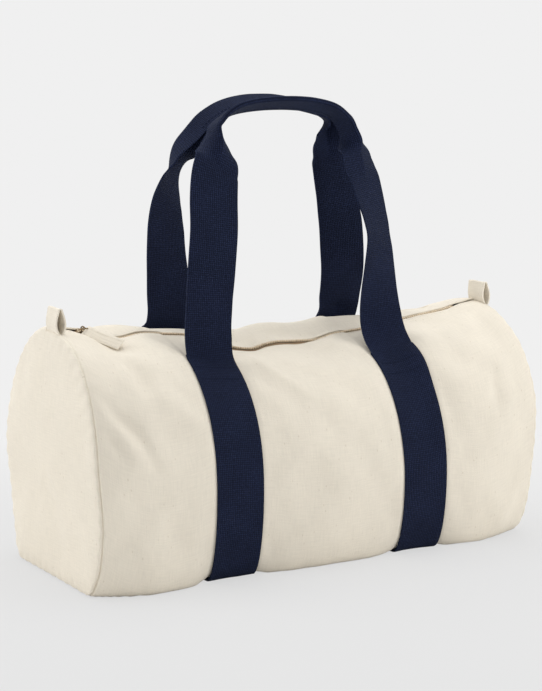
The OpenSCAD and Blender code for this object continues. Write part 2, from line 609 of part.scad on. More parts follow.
// Loops on the end seams: a folded strip with an eye that runs across the bag
module side_loop(side, y) {
    top = section_point(side * half_len, -1, ["across", max(0, y - loop_w / 2)], 0)[2];
    steps_n = 12;
    function bow(i) = loop_eye / 2 * sin(180 * i / steps_n);
    function height(i, h0, h1) = mix(h0, h1, i / steps_n);
    outer = [for (way = [1, -1], k = [0 : steps_n]) let (i = way > 0 ? k : steps_n - k)
        [way * (loop_t + bow(i)), height(i, 0, loop_h)]];
    eye = [for (way = [1, -1], k = [0 : steps_n - 1]) let (i = way > 0 ? k : steps_n - k)
        [way * bow(i), height(i, loop_t, loop_h - loop_t)]];
    color(canvas_colour)
    translate([side * (half_len - loop_t), -y + loop_w / 2, top + sew_gap])
    rotate([90, 0, 0])
    linear_extrude(loop_w)
    difference() {
        polygon(outer);
        polygon(eye);
    }
}
module side_loop_left() { side_loop(-1, loop_left_y); }
module side_loop_right() { side_loop(1, loop_right_y); }

body_panel();
end_panel_left();
end_panel_right();
seam_binding_left();
seam_binding_right();
strap_left();
strap_right();
strap_stitching();
handle_front();
handle_back();
grip_stitching_front();
grip_stitching_back();
mouth_edge_front();
mouth_edge_back();
zip_tape_front();
zip_tape_back();
zip_tape_left();
zip_tape_right();
zip_teeth_front();
zip_teeth_back();
zip_teeth_left();
zip_teeth_right();
zip_stop_left();
zip_stop_right();
zip_slider();
zip_pull_link();
zip_pull_tab();
side_loop_left();
side_loop_right();
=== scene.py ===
"""Barrel bag in undyed canvas with navy webbing handles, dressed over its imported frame."""

import functools
import math

import bmesh
import bpy
import numpy as np
from mathutils import Matrix, Vector


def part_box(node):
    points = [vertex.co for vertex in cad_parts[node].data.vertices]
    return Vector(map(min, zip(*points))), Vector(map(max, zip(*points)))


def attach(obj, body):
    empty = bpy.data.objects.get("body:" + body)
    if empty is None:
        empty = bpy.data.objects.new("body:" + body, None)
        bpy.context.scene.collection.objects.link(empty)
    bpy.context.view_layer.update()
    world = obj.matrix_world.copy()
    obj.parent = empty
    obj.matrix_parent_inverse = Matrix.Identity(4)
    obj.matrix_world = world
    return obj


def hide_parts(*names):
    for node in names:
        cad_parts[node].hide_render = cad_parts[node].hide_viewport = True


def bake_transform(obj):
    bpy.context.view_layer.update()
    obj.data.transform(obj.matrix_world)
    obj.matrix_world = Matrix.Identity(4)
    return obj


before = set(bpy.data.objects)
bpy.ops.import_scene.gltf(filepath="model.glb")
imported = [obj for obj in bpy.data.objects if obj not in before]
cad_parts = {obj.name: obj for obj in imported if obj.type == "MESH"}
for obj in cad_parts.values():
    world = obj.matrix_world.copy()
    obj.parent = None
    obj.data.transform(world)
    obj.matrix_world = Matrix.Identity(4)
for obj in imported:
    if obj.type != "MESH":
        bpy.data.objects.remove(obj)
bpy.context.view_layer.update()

bl_info = {
    "name": "Barrel bag",
    "version": (1, 0, 0),
    "blender": (4, 5, 0),
    "location": "View3D > Sidebar > Barrel bag",
    "description": "Makes a canvas barrel bag with webbing handles, a zip and end loops",
    "category": "Object",
}

MM = 0.001

# The bag's shape by stations along its length, in millimetres: place, top, half width in front
# and behind, height of the widest point, half width of the floor in front and behind, roundness
# in front and behind, and how far the canvas stands up beside the zip in front and behind
STATIONS = np.array([
    [-251, 240, 107.5, 107, 98, 78, 74, 2.4, 1.86, 0, 0],
    [-225, 235, 113, 113, 90, 93, 90, 2.3, 2.1, 0, 1],
    [-190, 228, 118, 116, 82, 103, 100, 2.3, 2.2, 2, 2],
    [-160, 222, 116, 115, 82, 99, 97, 2.4, 2.3, 6, 2],
    [-133, 218, 111, 111, 88, 87, 87, 2.2, 2.2, 4, 2],
    [-106.5, 215, 110, 110, 88, 85, 85, 2.2, 2.2, 2, 2],
    [-80, 212, 110, 110, 86, 87, 87, 2.2, 2.3, 0, 2],
    [-45, 208.5, 114, 113, 80, 96, 96, 2.4, 2.4, -1, 2],
    [0, 208, 115, 114, 78, 98, 98, 2.4, 2.4, -2, 2],
    [45, 210, 114, 113, 78, 97, 97, 2.3, 2.4, -2, 2],
    [80, 213, 111, 111, 76, 89, 89, 2.0, 2.2, -2, 2],
    [106.5, 215, 111, 111, 76, 86, 86, 1.9, 2.2, -2, 2],
    [133, 219, 112, 112, 78, 90, 90, 2.0, 2.2, 0, 2],
    [170, 223, 117, 116, 80, 101, 99, 2.1, 2.2, 0, 1],
    [205, 230, 115, 115, 84, 95, 93, 2.1, 2.1, 0, 0],
    [251, 240, 107.5, 107.5, 98, 76, 76, 2.0, 2.0, 0, 0]], float)
BACK_TOP = np.array([
    [-251, 240], [-225, 238], [-178, 234], [-140, 233], [-100, 232], [-60, 226.5], [-27, 224.5],
    [-10, 226], [10, 228], [46, 229], [64, 231.5], [82, 234.5], [107, 234.5], [130, 233.5],
    [160, 235], [194, 238.5], [213, 241.5], [229, 242.3], [251, 242.5]], float)
ZIP_LINE = np.array([
    [-251, 238.5], [-213, 233.4], [-190, 225.8], [-178, 224.6], [-155, 227.6], [-131, 226],
    [-108, 223.8], [-75, 212.5], [-50, 205.8], [-31, 203.4], [-15, 206.8], [0, 208.4], [20, 207.6],
    [38, 207.4], [52, 209.4], [68, 213.2], [86, 215], [104, 216.4], [157, 223.8], [185, 227.4],
    [207, 230.1], [225, 234.2], [251, 238.5]], float)
# The body in millimetres: half its length, the fold lines beside the zip, half the part of the
# mouth that opens, a height well inside, and the middle of an end
HALF_LENGTH = 251.0
FOLD_Y = 32.0
MOUTH_HALF = 62.0
MIDDLE_Z = 110.0
END_MIDDLE = np.array([0, 118.0])
# How far the zip's dip spreads, how far the lips stand above it, and the ridge of canvas beside it
ZIP_SPREAD_FRONT, ZIP_SPREAD_BACK = 22.0, 26.0
LIP_RISE_FRONT, LIP_RISE_BACK = 0.3, 2.7
RIDGE_Y, RIDGE_WIDTH = 42, 22
# The reach of the grid's closer columns and of the seams' pull, and the turned hem of the mouth
END_CROWD = 33
SEAM_REACH = 14
HEM_RADIUS = 0.9
# The webbing, where its sewn part ends in front and behind, and half the row of thread in a grip
STRAP_X = 106.5
STRAP_HALF = 25.0
STRAP_FRONT_Y = 50.0
STRAP_BACK_Y = 56.0
GRIP_HALF = 66
# The zip and its pull. The slider's shift is in metres
ZIP_Y = -0.45
TEETH_END = 219
SLIDER_X = -212.95
SLIDER_SHIFT = Vector((-0.0028, 0, -0.0027))
PULL_HALF, PULL_THREAD_Y = 6.1, 3.6
# Half the width of an end loop, and its height above its sewn foot
LOOP_HALF, LOOP_HEIGHT = 13.5, 24.6
# Thicknesses of the sheets that have no setting
LIP_THICKNESS, TAPE_THICKNESS, PULL_LAYER, LOOP_THICKNESS = 0.7, 0.6, 0.72, 1.5
# Rows of the grids
BODY_ROWS, STRAP_ROWS, HANDLE_ROWS, THREAD_ROWS = 178, 190, 300, 900
# The sign and the name of each end and of each side
ENDS = ((-1, "left"), (1, "right"))
SIDES = ((-1, "front"), (1, "back"))
# Places where the canvas on top is pressed in: along, across, depth, and half widths both ways
DIPS = ((-195, -36, 8.0, 25, 21), (-206, -17, 3.2, 11, 9), (222, -38, 4.5, 15, 18))


def smooth_curve(xs, ys):
    """A curve with no overshoot through points, as a function of an array of places."""
    xs, ys = np.asarray(xs, float), np.asarray(ys, float)
    flat = ys.ndim == 1
    ys = ys.reshape(len(xs), -1)
    h = np.diff(xs)[:, None]
    rise = np.diff(ys, axis=0) / h
    slope = np.zeros_like(ys)
    w1, w2 = 2 * h[1:] + h[:-1], h[1:] + 2 * h[:-1]
    same = rise[:-1] * rise[1:] > 0
    with np.errstate(divide="ignore", invalid="ignore"):
        mean = (w1 + w2) / (w1 / rise[:-1] + w2 / rise[1:])
    slope[1:-1] = np.where(same, mean, 0)
    slope[0], slope[-1] = rise[0], rise[-1]

    def at(x):
        x = np.asarray(x, float)
        i = np.clip(np.searchsorted(xs, x, side="right") - 1, 0, len(xs) - 2)
        step = h[i, 0]
        t = np.clip((x - xs[i]) / step, 0, 1)[..., None]
        step = step[..., None]
        y = ((1 + 2 * t) * (1 - t) ** 2 * ys[i] + t * (1 - t) ** 2 * step * slope[i]
             + t * t * (3 - 2 * t) * ys[i + 1] + t * t * (t - 1) * step * slope[i + 1])
        return y[..., 0] if flat else y

    return at


station_at = smooth_curve(STATIONS[:, 0], STATIONS[:, 1:])
back_top_at = smooth_curve(BACK_TOP[:, 0], BACK_TOP[:, 1])
zip_z = smooth_curve(ZIP_LINE[:, 0], ZIP_LINE[:, 1])


def smoothstep(a, b, x):
    """0 before a, 1 after b, and smooth between them."""
    t = np.clip((np.asarray(x, float) - a) / (b - a), 0, 1)
    return t * t * (3 - 2 * t)


def bell(*distances):
    """1 at distance 0, falling smoothly to 0; distances are in half widths."""
    return np.exp(-sum(np.square(d) for d in distances))


def unit(v):
    """Unit vectors."""
    return v / np.maximum(np.linalg.norm(v, axis=-1, keepdims=True), 1e-12)


def lengths_along(line):
    """Distances along a line of points, from its start."""
    return np.concatenate([[0], np.cumsum(np.linalg.norm(np.diff(line[:, :3], axis=0), axis=1))])


def evened(line, count):
    """A line's points moved to even distances along it, and those distances."""
    far = lengths_along(line)
    even = np.linspace(0, far[-1], count)
    return np.stack([np.interp(even, far, column) for column in line.T], 1), even


def near_strap(x, reach=4.0):
    """1 under the webbing, falling to 0 within reach of its edges."""
    d = np.abs(np.abs(np.asarray(x, float)) - STRAP_X)
    return 1 - smoothstep(STRAP_HALF - 0.5, STRAP_HALF + reach, d)


def half_values(x, side):
    """Top, half width, widest height, floor, roundness, ridge, zip spread and lip rise."""
    s = station_at(x)
    if side < 0:
        return (*(s[..., k] for k in (0, 1, 3, 4, 6, 8)), ZIP_SPREAD_FRONT, LIP_RISE_FRONT)
    return (back_top_at(x), *(s[..., k] for k in (2, 3, 5, 7, 9)), ZIP_SPREAD_BACK, LIP_RISE_BACK)


def risen(x, level, y, top, ridge, spread, rise):
    """Heights of the plain outline with the ridge beside the zip and the dip of the zip's line."""
    start = top + ridge * bell(RIDGE_Y / RIDGE_WIDTH)
    level = level + ridge * bell((y - RIDGE_Y) / RIDGE_WIDTH)
    return level + (zip_z(x) + rise - start) * bell(y / spread)


def top_z(x, y):
    """Height of the canvas on top of the bag, for places near the zip."""
    x, y = np.broadcast_arrays(np.asarray(x, float), np.asarray(y, float))
    z = np.zeros(x.shape)
    for side in (-1, 1):
        here = y * side >= 0
        zt, w, zb, _, n, ridge, spread, rise = half_values(x, side)
        a = np.clip(np.abs(y), 0, w * 0.999)
        crown = zb + (zt - zb) * (1 - (a / w) ** n) ** (1 / n)
        z = np.where(here, risen(x, crown, a, zt, ridge, spread, rise), z)
    return z


def half_section(x, side):
    """The bag's outline at a place, from the zip outwards and down to the middle of the floor."""
    zt, w, zb, c, n, ridge, spread, rise = (float(v) for v in half_values(x, side))
    phi = np.linspace(0, math.pi / 2, 220)
    y = w * np.sin(phi) ** (2 / n)
    z = risen(x, zb + (zt - zb) * np.cos(phi) ** (2 / n), y, zt, ridge, spread, rise)
    psi = np.linspace(0, math.pi / 2, 80)[1:]
    low_y, low_z = c + (w - c) * np.cos(psi), zb * (1 - np.sin(psi))
    y = np.concatenate([y, low_y, np.linspace(c, 0, 30)[1:]])
    z = np.concatenate([z, low_z, np.zeros(29)])
    return y, z


def section_between(x, front_y, back_y, count):
    """Evenly spaced points round the bag at a place, from front_y over the floor to back_y."""
    parts = []
    for side, limit in ((-1, front_y), (1, back_y)):
        y, z = half_section(x, side)
        first = int(np.searchsorted(y[:200], limit))
        t = (limit - y[first - 1]) / (y[first] - y[first - 1])
        z0 = z[first - 1] + t * (z[first] - z[first - 1])
        y, z = np.concatenate([[limit], y[first:]]), np.concatenate([[z0], z[first:]])
        parts.append(np.stack([side * y, z], 1))
    return evened(np.concatenate([parts[0], parts[1][-2::-1]]), count)


def normals_of(points):
    """Unit normals of a grid of points."""
    return unit(np.cross(np.gradient(points, axis=0), np.gradient(points, axis=1)))


def outward(points, centre):
    """Unit normals of a grid of points, turned away from a centre."""
    n = normals_of(points)
    return -n if np.mean(np.sum(n * (points - centre), -1)) < 0 else n


def waves(seed, count, longest, shortest, height):
    """A seeded, soft unevenness in space, as a function of points in millimetres."""
    rng = np.random.default_rng(seed)
    length = np.geomspace(longest, shortest, count)
    way = rng.normal(size=(count, 3))
    way /= np.linalg.norm(way, axis=1, keepdims=True)
    phase = rng.uniform(0, 2 * math.pi, count)
    size = height * (length / longest) ** 0.9

    def at(p):
        total = np.zeros(p.shape[:-1])
        for k in range(count):
            total += size[k] * np.cos(2 * math.pi * (p @ way[k]) / length[k] + phase[k])
        return total

    return at


slack = waves(11, 12, 190, 60, 0.9)
rumple = waves(23, 14, 62, 24, 0.34)

# Soft folds and creases in the canvas: points on its surface, height (below 0 for a valley), and
# half width, in millimetres
FOLDS = [
    ([(-242, -90, 188), (-232, -99, 170), (-213, -106, 153), (-198, -114, 126), (-187, -117, 109)],
     -2.4, 7),
    ([(-245, -98, 172), (-231, -104, 156), (-208, -114, 121)], 1.6, 6),
    ([(-248, -102, 156), (-237, -106, 146), (-225, -111, 129)], -1.5, 6),
    ([(-228, -112, 114), (-222, -113, 111), (-217, -114, 105)], 0.8, 5),
    ([(-210, -53, 221), (-198, -76, 204), (-193, -95, 179)], -2.2, 10),
    ([(-186, -62, 213), (-174, -94, 180), (-138, -102, 148)], 2.0, 12),
    ([(-159, -46, 221), (-146, -48, 216), (-130, -57, 206)], -1.3, 4),
    ([(-64, -40, 204), (-53, -65, 193), (-38, -80, 182), (-15, -94, 165)], 1.8, 5),
    ([(-73, -64, 193), (-59, -81, 180), (-35, -96, 161)], -1.3, 8),
    ([(60, -72, 185), (70, -100, 139), (75, -110, 98)], 1.4, 9),
    ([(206, -87, 184), (200, -99, 162), (200, -108, 140)], -1.9, 6),
    ([(221, -91, 177), (217, -101, 158), (216, -106, 141)], 1.1, 7),
    ([(169, -21, 221), (169, -65, 201), (167, -88, 177)], -1.0, 9),
    ([(-240, 92, 180), (-222, 104, 152), (-204, 112, 120)], -2.2, 7),
    ([(-228, 86, 190), (-206, 104, 158), (-186, 112, 128)], 1.6, 8),
    ([(236, 90, 182), (216, 104, 150), (198, 112, 118)], -2.0, 7),
    ([(70, 60, 208), (46, 84, 186), (20, 100, 158)], -1.6, 7),
    ([(60, 52, 214), (34, 76, 194), (10, 94, 170)], 1.3, 6),
    ([(-76, 70, 200), (-52, 92, 176), (-30, 104, 146)], -1.5, 7),
    ([(-238, 100, 60), (-214, 110, 84), (-196, 113, 100)], -1.2, 8)]


def distance_to(points, line):
    """Shortest distance from points to a line of points, and the share of the line before it."""
    line = np.asarray(line, float)
    best = np.full(points.shape[:-1], 1e9)
    along = np.zeros(points.shape[:-1])
    for k in range(len(line) - 1):
        a, d = line[k], line[k + 1] - line[k]
        t = np.clip(((points - a) @ d) / (d @ d), 0, 1)
        gap = np.linalg.norm(points - (a + t[..., None] * d), axis=-1)
        nearer = gap < best
        best = np.where(nearer, gap, best)
        along = np.where(nearer, (k + t) / (len(line) - 1), along)
    return best, along


def canvas_relief(p):
    """How far the canvas stands out from its plain shape at points on it."""
    d = slack(p) + rumple(p)
    d = d * (0.25 + 0.75 * smoothstep(0, 45, p[..., 2]))
    for line, height, width in FOLDS:
        gap, along = distance_to(p, line)
        faded = np.sin(np.clip(along, 0.04, 0.96) * math.pi) ** 0.5
        d = d + height * bell(gap / width) * faded
    return d * (1.25 + 0.35 * smoothstep(-118, -140, p[..., 0]))


def linked(name, data):
    """A new object in the scene for a mesh, a lamp or a camera."""
    obj = bpy.data.objects.new(name, data)
    bpy.context.scene.collection.objects.link(obj)
    return obj


def mesh_of(bm, name):
    """A new mesh from a finished bmesh."""
    mesh = bpy.data.meshes.new(name)
    bm.to_mesh(mesh)
    bm.free()
    return mesh


def grid_object(name, points, u, v, weld=0.0, outside=None):
    """An object whose faces are a grid over points in millimetres, with a UV map in metres."""
    rows, columns = points.shape[:2]
    bm = bmesh.new()
    bmesh.ops.create_grid(bm, x_segments=columns - 1, y_segments=rows - 1, size=1)
    mesh = mesh_of(bm, name)
    at = np.empty(len(mesh.vertices) * 3)
    mesh.vertices.foreach_get("co", at)
    at = at.reshape(-1, 3)
    i = np.rint((at[:, 1] + 1) / 2 * (rows - 1)).astype(int)
    j = np.rint((at[:, 0] + 1) / 2 * (columns - 1)).astype(int)
    mesh.vertices.foreach_set("co", (points[i, j] * MM).ravel())
    corner = np.empty(len(mesh.loops), int)
    mesh.loops.foreach_get("vertex_index", corner)
    u, v = (np.broadcast_to(part, (rows, columns))[i, j] for part in (u, v))
    pairs = np.stack([u, v], -1)[corner] * MM
    mesh.uv_layers.new(name="cloth").data.foreach_set("uv", pairs.ravel())
    mesh.update()
    obj = linked(name, mesh)
    bm = bmesh.new()
    bm.from_mesh(mesh)
    if weld:
        bmesh.ops.remove_doubles(bm, verts=bm.verts[:], dist=weld * MM)
        bmesh.ops.recalc_face_normals(bm, faces=bm.faces[:])
    bm.normal_update()
    if outside is not None:
        centre = Vector(outside) * MM
        turned_over(bm, lambda f: f.normal.dot(f.calc_center_median() - centre))
    for edge in bm.edges:
        edge.smooth = not edge.is_boundary
    bm.to_mesh(mesh)
    bm.free()
    smooth(obj)
    return obj


def turned_over(bm, score):
    """Turns all faces over if their scores, each times its face's area, add up to less than 0."""
    if sum(score(f) * f.calc_area() for f in bm.faces) < 0:
        bmesh.ops.reverse_faces(bm, faces=bm.faces[:])


def face_towards(obj, way):
    """Turns the faces of an open sheet towards a direction."""
    bm = bmesh.new()
    bm.from_mesh(obj.data)
    bm.normal_update()
    turned_over(bm, lambda f: f.normal.dot(Vector(way)))
    bm.to_mesh(obj.data)
    bm.free()
    smooth(obj)


def smooth(obj):
    """Shades an object smooth."""
    obj.data.polygons.foreach_set("use_smooth", [True] * len(obj.data.polygons))
    obj.data.update()


def joined(name, objects):
    """One object from several, the first one's materials kept."""
    bm = bmesh.new()
    for o in objects:
        bm.from_mesh(o.data)
    mesh = objects[0].data
    bm.to_mesh(mesh)
    bm.free()
    for o in objects[1:]:
        spare = o.data
        bpy.data.objects.remove(o)
        bpy.data.meshes.remove(spare)
    objects[0].name = mesh.name = name
    smooth(objects[0])
    return objects[0]


def thicken(obj, thickness, offset=-1.0):
    """Gives a sheet its thickness in millimetres, inwards unless offset says otherwise."""
    solid = obj.modifiers.new("Thickness", "SOLIDIFY")
    solid.thickness = thickness * MM
    solid.offset = offset
    solid.use_even_offset = False
    solid.use_quality_normals = True


def setting(name):
    """One of the bag's sizes that a user may change, in millimetres."""
    return getattr(bpy.context.scene.barrel_bag_sizes, name) / MM


def dress(obj, finish):
    """Gives a piece its finish."""
    obj.data.materials.clear()
    obj.data.materials.append(finish_named(finish))


def pieces_along(name, places, make_one):
    """One object from many small like pieces. Each place is (centre, along, up) in millimetres."""
    bm = bmesh.new()
    for centre, along, up in places:
        along = unit(np.asarray(along, float))
        up = np.asarray(up, float)
        up = unit(up - (up @ along) * along)
        across = np.cross(up, along)
        m = Matrix([[along[k], across[k], up[k], centre[k]] for k in range(3)] + [[0, 0, 0, 1]])
        make_one(bm, Matrix.Scale(MM, 4) @ m)
    obj = linked(name, mesh_of(bm, name))
    smooth(obj)
    return obj


def stitch_maker(length, width, height):
    """Makes one stitch of thread: a short, flattened, tapering bead."""
    def make(bm, place):
        turn = Matrix.Rotation(math.pi / 2, 4, "Y")
        made = bmesh.ops.create_uvsphere(bm, u_segments=6, v_segments=5, radius=1, matrix=turn)
        for v in made["verts"]:
            v.co = place @ Vector((v.co.x * length / 2, v.co.y * width / 2, v.co.z * height / 2))
    return make


# ---------------------------------------------------------------- finishes


def put(shader, **values):
    """Sets a node's inputs, or else its own settings. An underscore stands for an input's space."""
    for key, value in values.items():
        socket = shader.inputs.get(key.replace("_", " "))
        if socket is None:
            setattr(shader, key, value)
        else:
            socket.default_value = value
    return shader


def node(tree, kind, **values):
    """A new shader node with its settings."""
    return put(tree.nodes.new("ShaderNode" + kind), **values)


def plug(tree, socket, value):
    """Feeds a socket from another socket, or with a number or a colour."""
    if isinstance(value, (int, float)):
        socket.default_value = value
    elif isinstance(value, (tuple, list)):
        socket.default_value = (*value[:3], 1)
    else:
        tree.links.new(value, socket)


def plugged(tree, n, *values):
    """Feeds a node's first inputs in order, past any None, and gives its first output."""
    for k, value in enumerate(values):
        if value is not None:
            plug(tree, n.inputs[k], value)
    return n.outputs[0]


def calc(tree, operation, *values):
    """A Math node over sockets or numbers; gives its output."""
    return plugged(tree, node(tree, "Math", operation=operation), *values)


def times(tree, a, *others):
    """Sockets or numbers multiplied together."""
    for b in others:
        a = calc(tree, "MULTIPLY", a, b)
    return a


def wave(tree, value, per):
    """A sine over a socket."""
    return calc(tree, "SINE", times(tree, value, per))


def blend_colour(tree, factor, a, b):
    """A colour mix over sockets or colours; gives its output."""
    n = node(tree, "Mix", data_type="RGBA")
    for k, value in ((0, factor), (6, a), (7, b)):
        plug(tree, n.inputs[k], value)
    return n.outputs[2]


def tinted(tree, tone, colour):
    """A colour made lighter or darker by a tone socket."""
    return plugged(tree, node(tree, "CombineColor"), *(times(tree, tone, c) for c in colour))


def noise(tree, vector, scale, detail=2.0, roughness=0.5):
    """A noise value over a vector socket."""
    n = node(tree, "TexNoise", Scale=scale, Detail=detail, Roughness=roughness)
    return plugged(tree, n, vector)


def stretched(tree, vector, scale, turn=0.0):
    """A vector scaled by a Mapping node."""
    return plugged(tree, node(tree, "Mapping", Scale=scale, Rotation=(0, 0, turn)), vector)


def levels(tree, value, low, high, to_low=0.0, to_high=1.0):
    """A clamped Map Range over a socket."""
    return plugged(tree, node(tree, "MapRange"), value, low, high, to_low, to_high)


def object_place(tree):
    """The place on the object, as a vector socket."""
    return node(tree, "TexCoord").outputs["Object"]


def emptied(owner, output):
    """The bare node tree of a material or a world, and the input of its output node."""
    owner.use_nodes = True
    owner.node_tree.nodes.clear()
    return owner.node_tree, node(owner.node_tree, output).inputs[0]


def new_material(name):
    """An empty material with its shader; gives the material, its tree and its shader."""
    material = bpy.data.materials.new(name)
    tree, out = emptied(material, "OutputMaterial")
    shader = node(tree, "BsdfPrincipled")
    tree.links.new(shader.outputs[0], out)
    return material, tree, shader


def cloth_place(tree):
    """The piece's UV map in metres, as a vector and its two parts."""
    uv = node(tree, "UVMap", uv_map="cloth").outputs[0]
    parts = node(tree, "SeparateXYZ")
    tree.links.new(uv, parts.inputs[0])
    return uv, parts.outputs[0], parts.outputs[1]


def finished(material, tree, shader, colour, height, strength, distance, **values):
    """Gives a material its colour, its surface relief and its other values."""
    tree.links.new(colour, shader.inputs["Base Color"])
    put(shader, **values)
    bump = node(tree, "Bump", Strength=strength, Distance=distance)
    tree.links.new(height, bump.inputs["Height"])
    tree.links.new(bump.outputs[0], shader.inputs["Normal"])
    return material


def canvas_finish(name, colour, pitch):
    """Plain-woven canvas with uneven yarn, slubs and dark seed flecks, and painted shade darkening
    the weave's hollows.
    """
    material, tree, shader = new_material(name)
    place, u, v = cloth_place(tree)
    per = 2 * math.pi / pitch
    woven = times(tree, wave(tree, u, per), wave(tree, v, per))
    weave = calc(tree, "MULTIPLY_ADD", woven, 0.5, 0.5)
    yarn = calc(tree, "ADD", *(noise(tree, stretched(tree, place, way), 1.0)
                               for way in ((60, 900, 1), (900, 60, 1))))
    cloud = noise(tree, place, 14.0, 3.0)
    speck = node(tree, "TexVoronoi", voronoi_dimensions="2D", Scale=260)
    tree.links.new(stretched(tree, place, (1, 0.55, 1), 0.5), speck.inputs["Vector"])
    chosen = plugged(tree, node(tree, "SeparateColor"), speck.outputs["Color"])
    fleck = times(tree, levels(tree, speck.outputs["Distance"], 0.10, 0.2, 1, 0),
                  levels(tree, chosen, 0.93, 0.99), 0.35)
    # The tone is the canvas's own uneven yarn and mottling, with painted shade: the weave's hollows
    # are painted slightly darker
    tone = times(tree, levels(tree, yarn, 0.7, 1.3, 0.95, 1.03),
                 levels(tree, cloud, 0.3, 0.7, 0.975, 1.02),
                 levels(tree, weave, 0, 1, 0.965, 1.015))
    dark = [c * s for c, s in zip(colour, (0.62, 0.55, 0.46))]
    cloth = blend_colour(tree, fleck, tinted(tree, tone, colour), dark)
    height = calc(tree, "ADD", times(tree, weave, 0.6), times(tree, yarn, 0.7))
    return finished(material, tree, shader, cloth, height, 0.6, 0.00035, Roughness=0.88,
                    Specular_IOR_Level=0.25, Sheen_Weight=0.12, Sheen_Roughness=0.6)


def webbing_finish(name, dark, light, pitch):
    """Ribbed webbing: square cells in rows and columns, with a faint sheen, painted shade in the
    hollows and painted highlight on the tops.
    """
    material, tree, shader = new_material(name)
    place, u, v = cloth_place(tree)
    column, row = (calc(tree, "ABSOLUTE", wave(tree, way, math.pi / pitch)) for way in (u, v))
    cell = times(tree, calc(tree, "POWER", column, 0.7), calc(tree, "POWER", row, 0.5))
    wear = noise(tree, stretched(tree, place, (500, 500, 1)), 1.0, 3.0)
    drift = noise(tree, place, 22.0, 3.0)
    # Painted light: the cells' tops are painted lighter as highlight and their hollows darker as
    # shade, varied by random wear and drift in tone
    lit = times(tree, cell, levels(tree, wear, 0.3, 0.75, 0.45, 1.25),
                levels(tree, drift, 0.3, 0.7, 0.7, 1.2))
    colour = blend_colour(tree, lit, dark, light)
    return finished(material, tree, shader, colour, cell, 0.8, 0.0006, Roughness=0.8,
                    Specular_IOR_Level=0.08, Sheen_Weight=0.02, Sheen_Roughness=0.4,
                    Sheen_Tint=(0.5, 0.68, 1.0, 1))


def tape_finish(name, colour, pitch):
    """Zip tape: fine twill across the tape, with painted shade darkening the grooves between its
    ribs.
    """
    material, tree, shader = new_material(name)
    place, u, v = cloth_place(tree)
    rib = wave(tree, calc(tree, "ADD", u, v), 2 * math.pi / pitch)
    drift = noise(tree, place, 60.0, 3.0)
    # Painted shade: the twill's grooves are painted darker than its ribs, varied by random drift in
    # tone
    tone = times(tree, levels(tree, rib, -1, 1, 0.85, 1.1),
                 levels(tree, drift, 0.3, 0.7, 0.88, 1.1))
    return finished(material, tree, shader, tinted(tree, tone, colour), rib, 0.4, 0.0002,
                    Roughness=0.85)


def thread_finish(name, colour, shine=0.15):
    """Twisted sewing thread."""
    material, tree, shader = new_material(name)
    twist = noise(tree, object_place(tree), 2200.0, 1.0)
    tone = levels(tree, twist, 0.3, 0.7, 0.8, 1.12)
    return finished(material, tree, shader, tinted(tree, tone, colour), twist, 0.4, 0.0002,
                    Roughness=0.8, Specular_IOR_Level=shine)


def brass_finish(name, bright, dull, share, metal=1.0):
    """Antique brass: dark, worn brighter in random patches."""
    material, tree, shader = new_material(name)
    patch = noise(tree, object_place(tree), 420.0, 4.0, 0.6)
    worn = levels(tree, patch, share - 0.12, share + 0.12)
    tree.links.new(levels(tree, patch, 0.3, 0.7, 0.5, 0.28), shader.inputs["Roughness"])
    return finished(material, tree, shader, blend_colour(tree, worn, dull, bright), patch, 0.15,
                    0.0002, Metallic=metal)


# Each finish by its name, from the colours and sizes that a user may change
FINISHES = {
    "undyed_canvas": lambda name, c, s: canvas_finish(name, c["canvas"], s.canvas_pitch),
    "cotton_binding": lambda name, c, s: canvas_finish(name, c["binding"], 0.8 * s.canvas_pitch),
    "navy_webbing": lambda name, c, s: webbing_finish(
        name, c["webbing_dark"], c["webbing_light"], s.rib_pitch),
    "zip_tape_twill": lambda name, c, s: tape_finish(name, c["tape"], 0.0009),
    "light_sewing_thread": lambda name, c, s: thread_finish(name, c["light_thread"]),
    "navy_sewing_thread": lambda name, c, s: thread_finish(name, c["navy_thread"], 0.0),
    "antique_brass": lambda name, c, s: brass_finish(name, c["brass"], c["brass_dull"], 0.5),
    "worn_brass": lambda name, c, s: brass_finish(
        name, c["teeth"], tuple(0.7 * part for part in c["teeth"]), 0.45, 0.35),
}


def finish_named(name):
    """One of the bag's finishes, made once."""
    scene = bpy.context.scene
    own = scene.barrel_bag_colours
    colours = {key: tuple(getattr(own, key)) for key in BarrelBagColours.__annotations__}
    made = bpy.data.materials.get(name)
    return made or FINISHES[name](name, colours, scene.barrel_bag_sizes)


# ---------------------------------------------------------------- sizes and colours


COLOUR = {"subtype": "COLOR", "size": 3, "min": 0, "max": 1}
LENGTH = {"subtype": "DISTANCE", "unit": "LENGTH"}


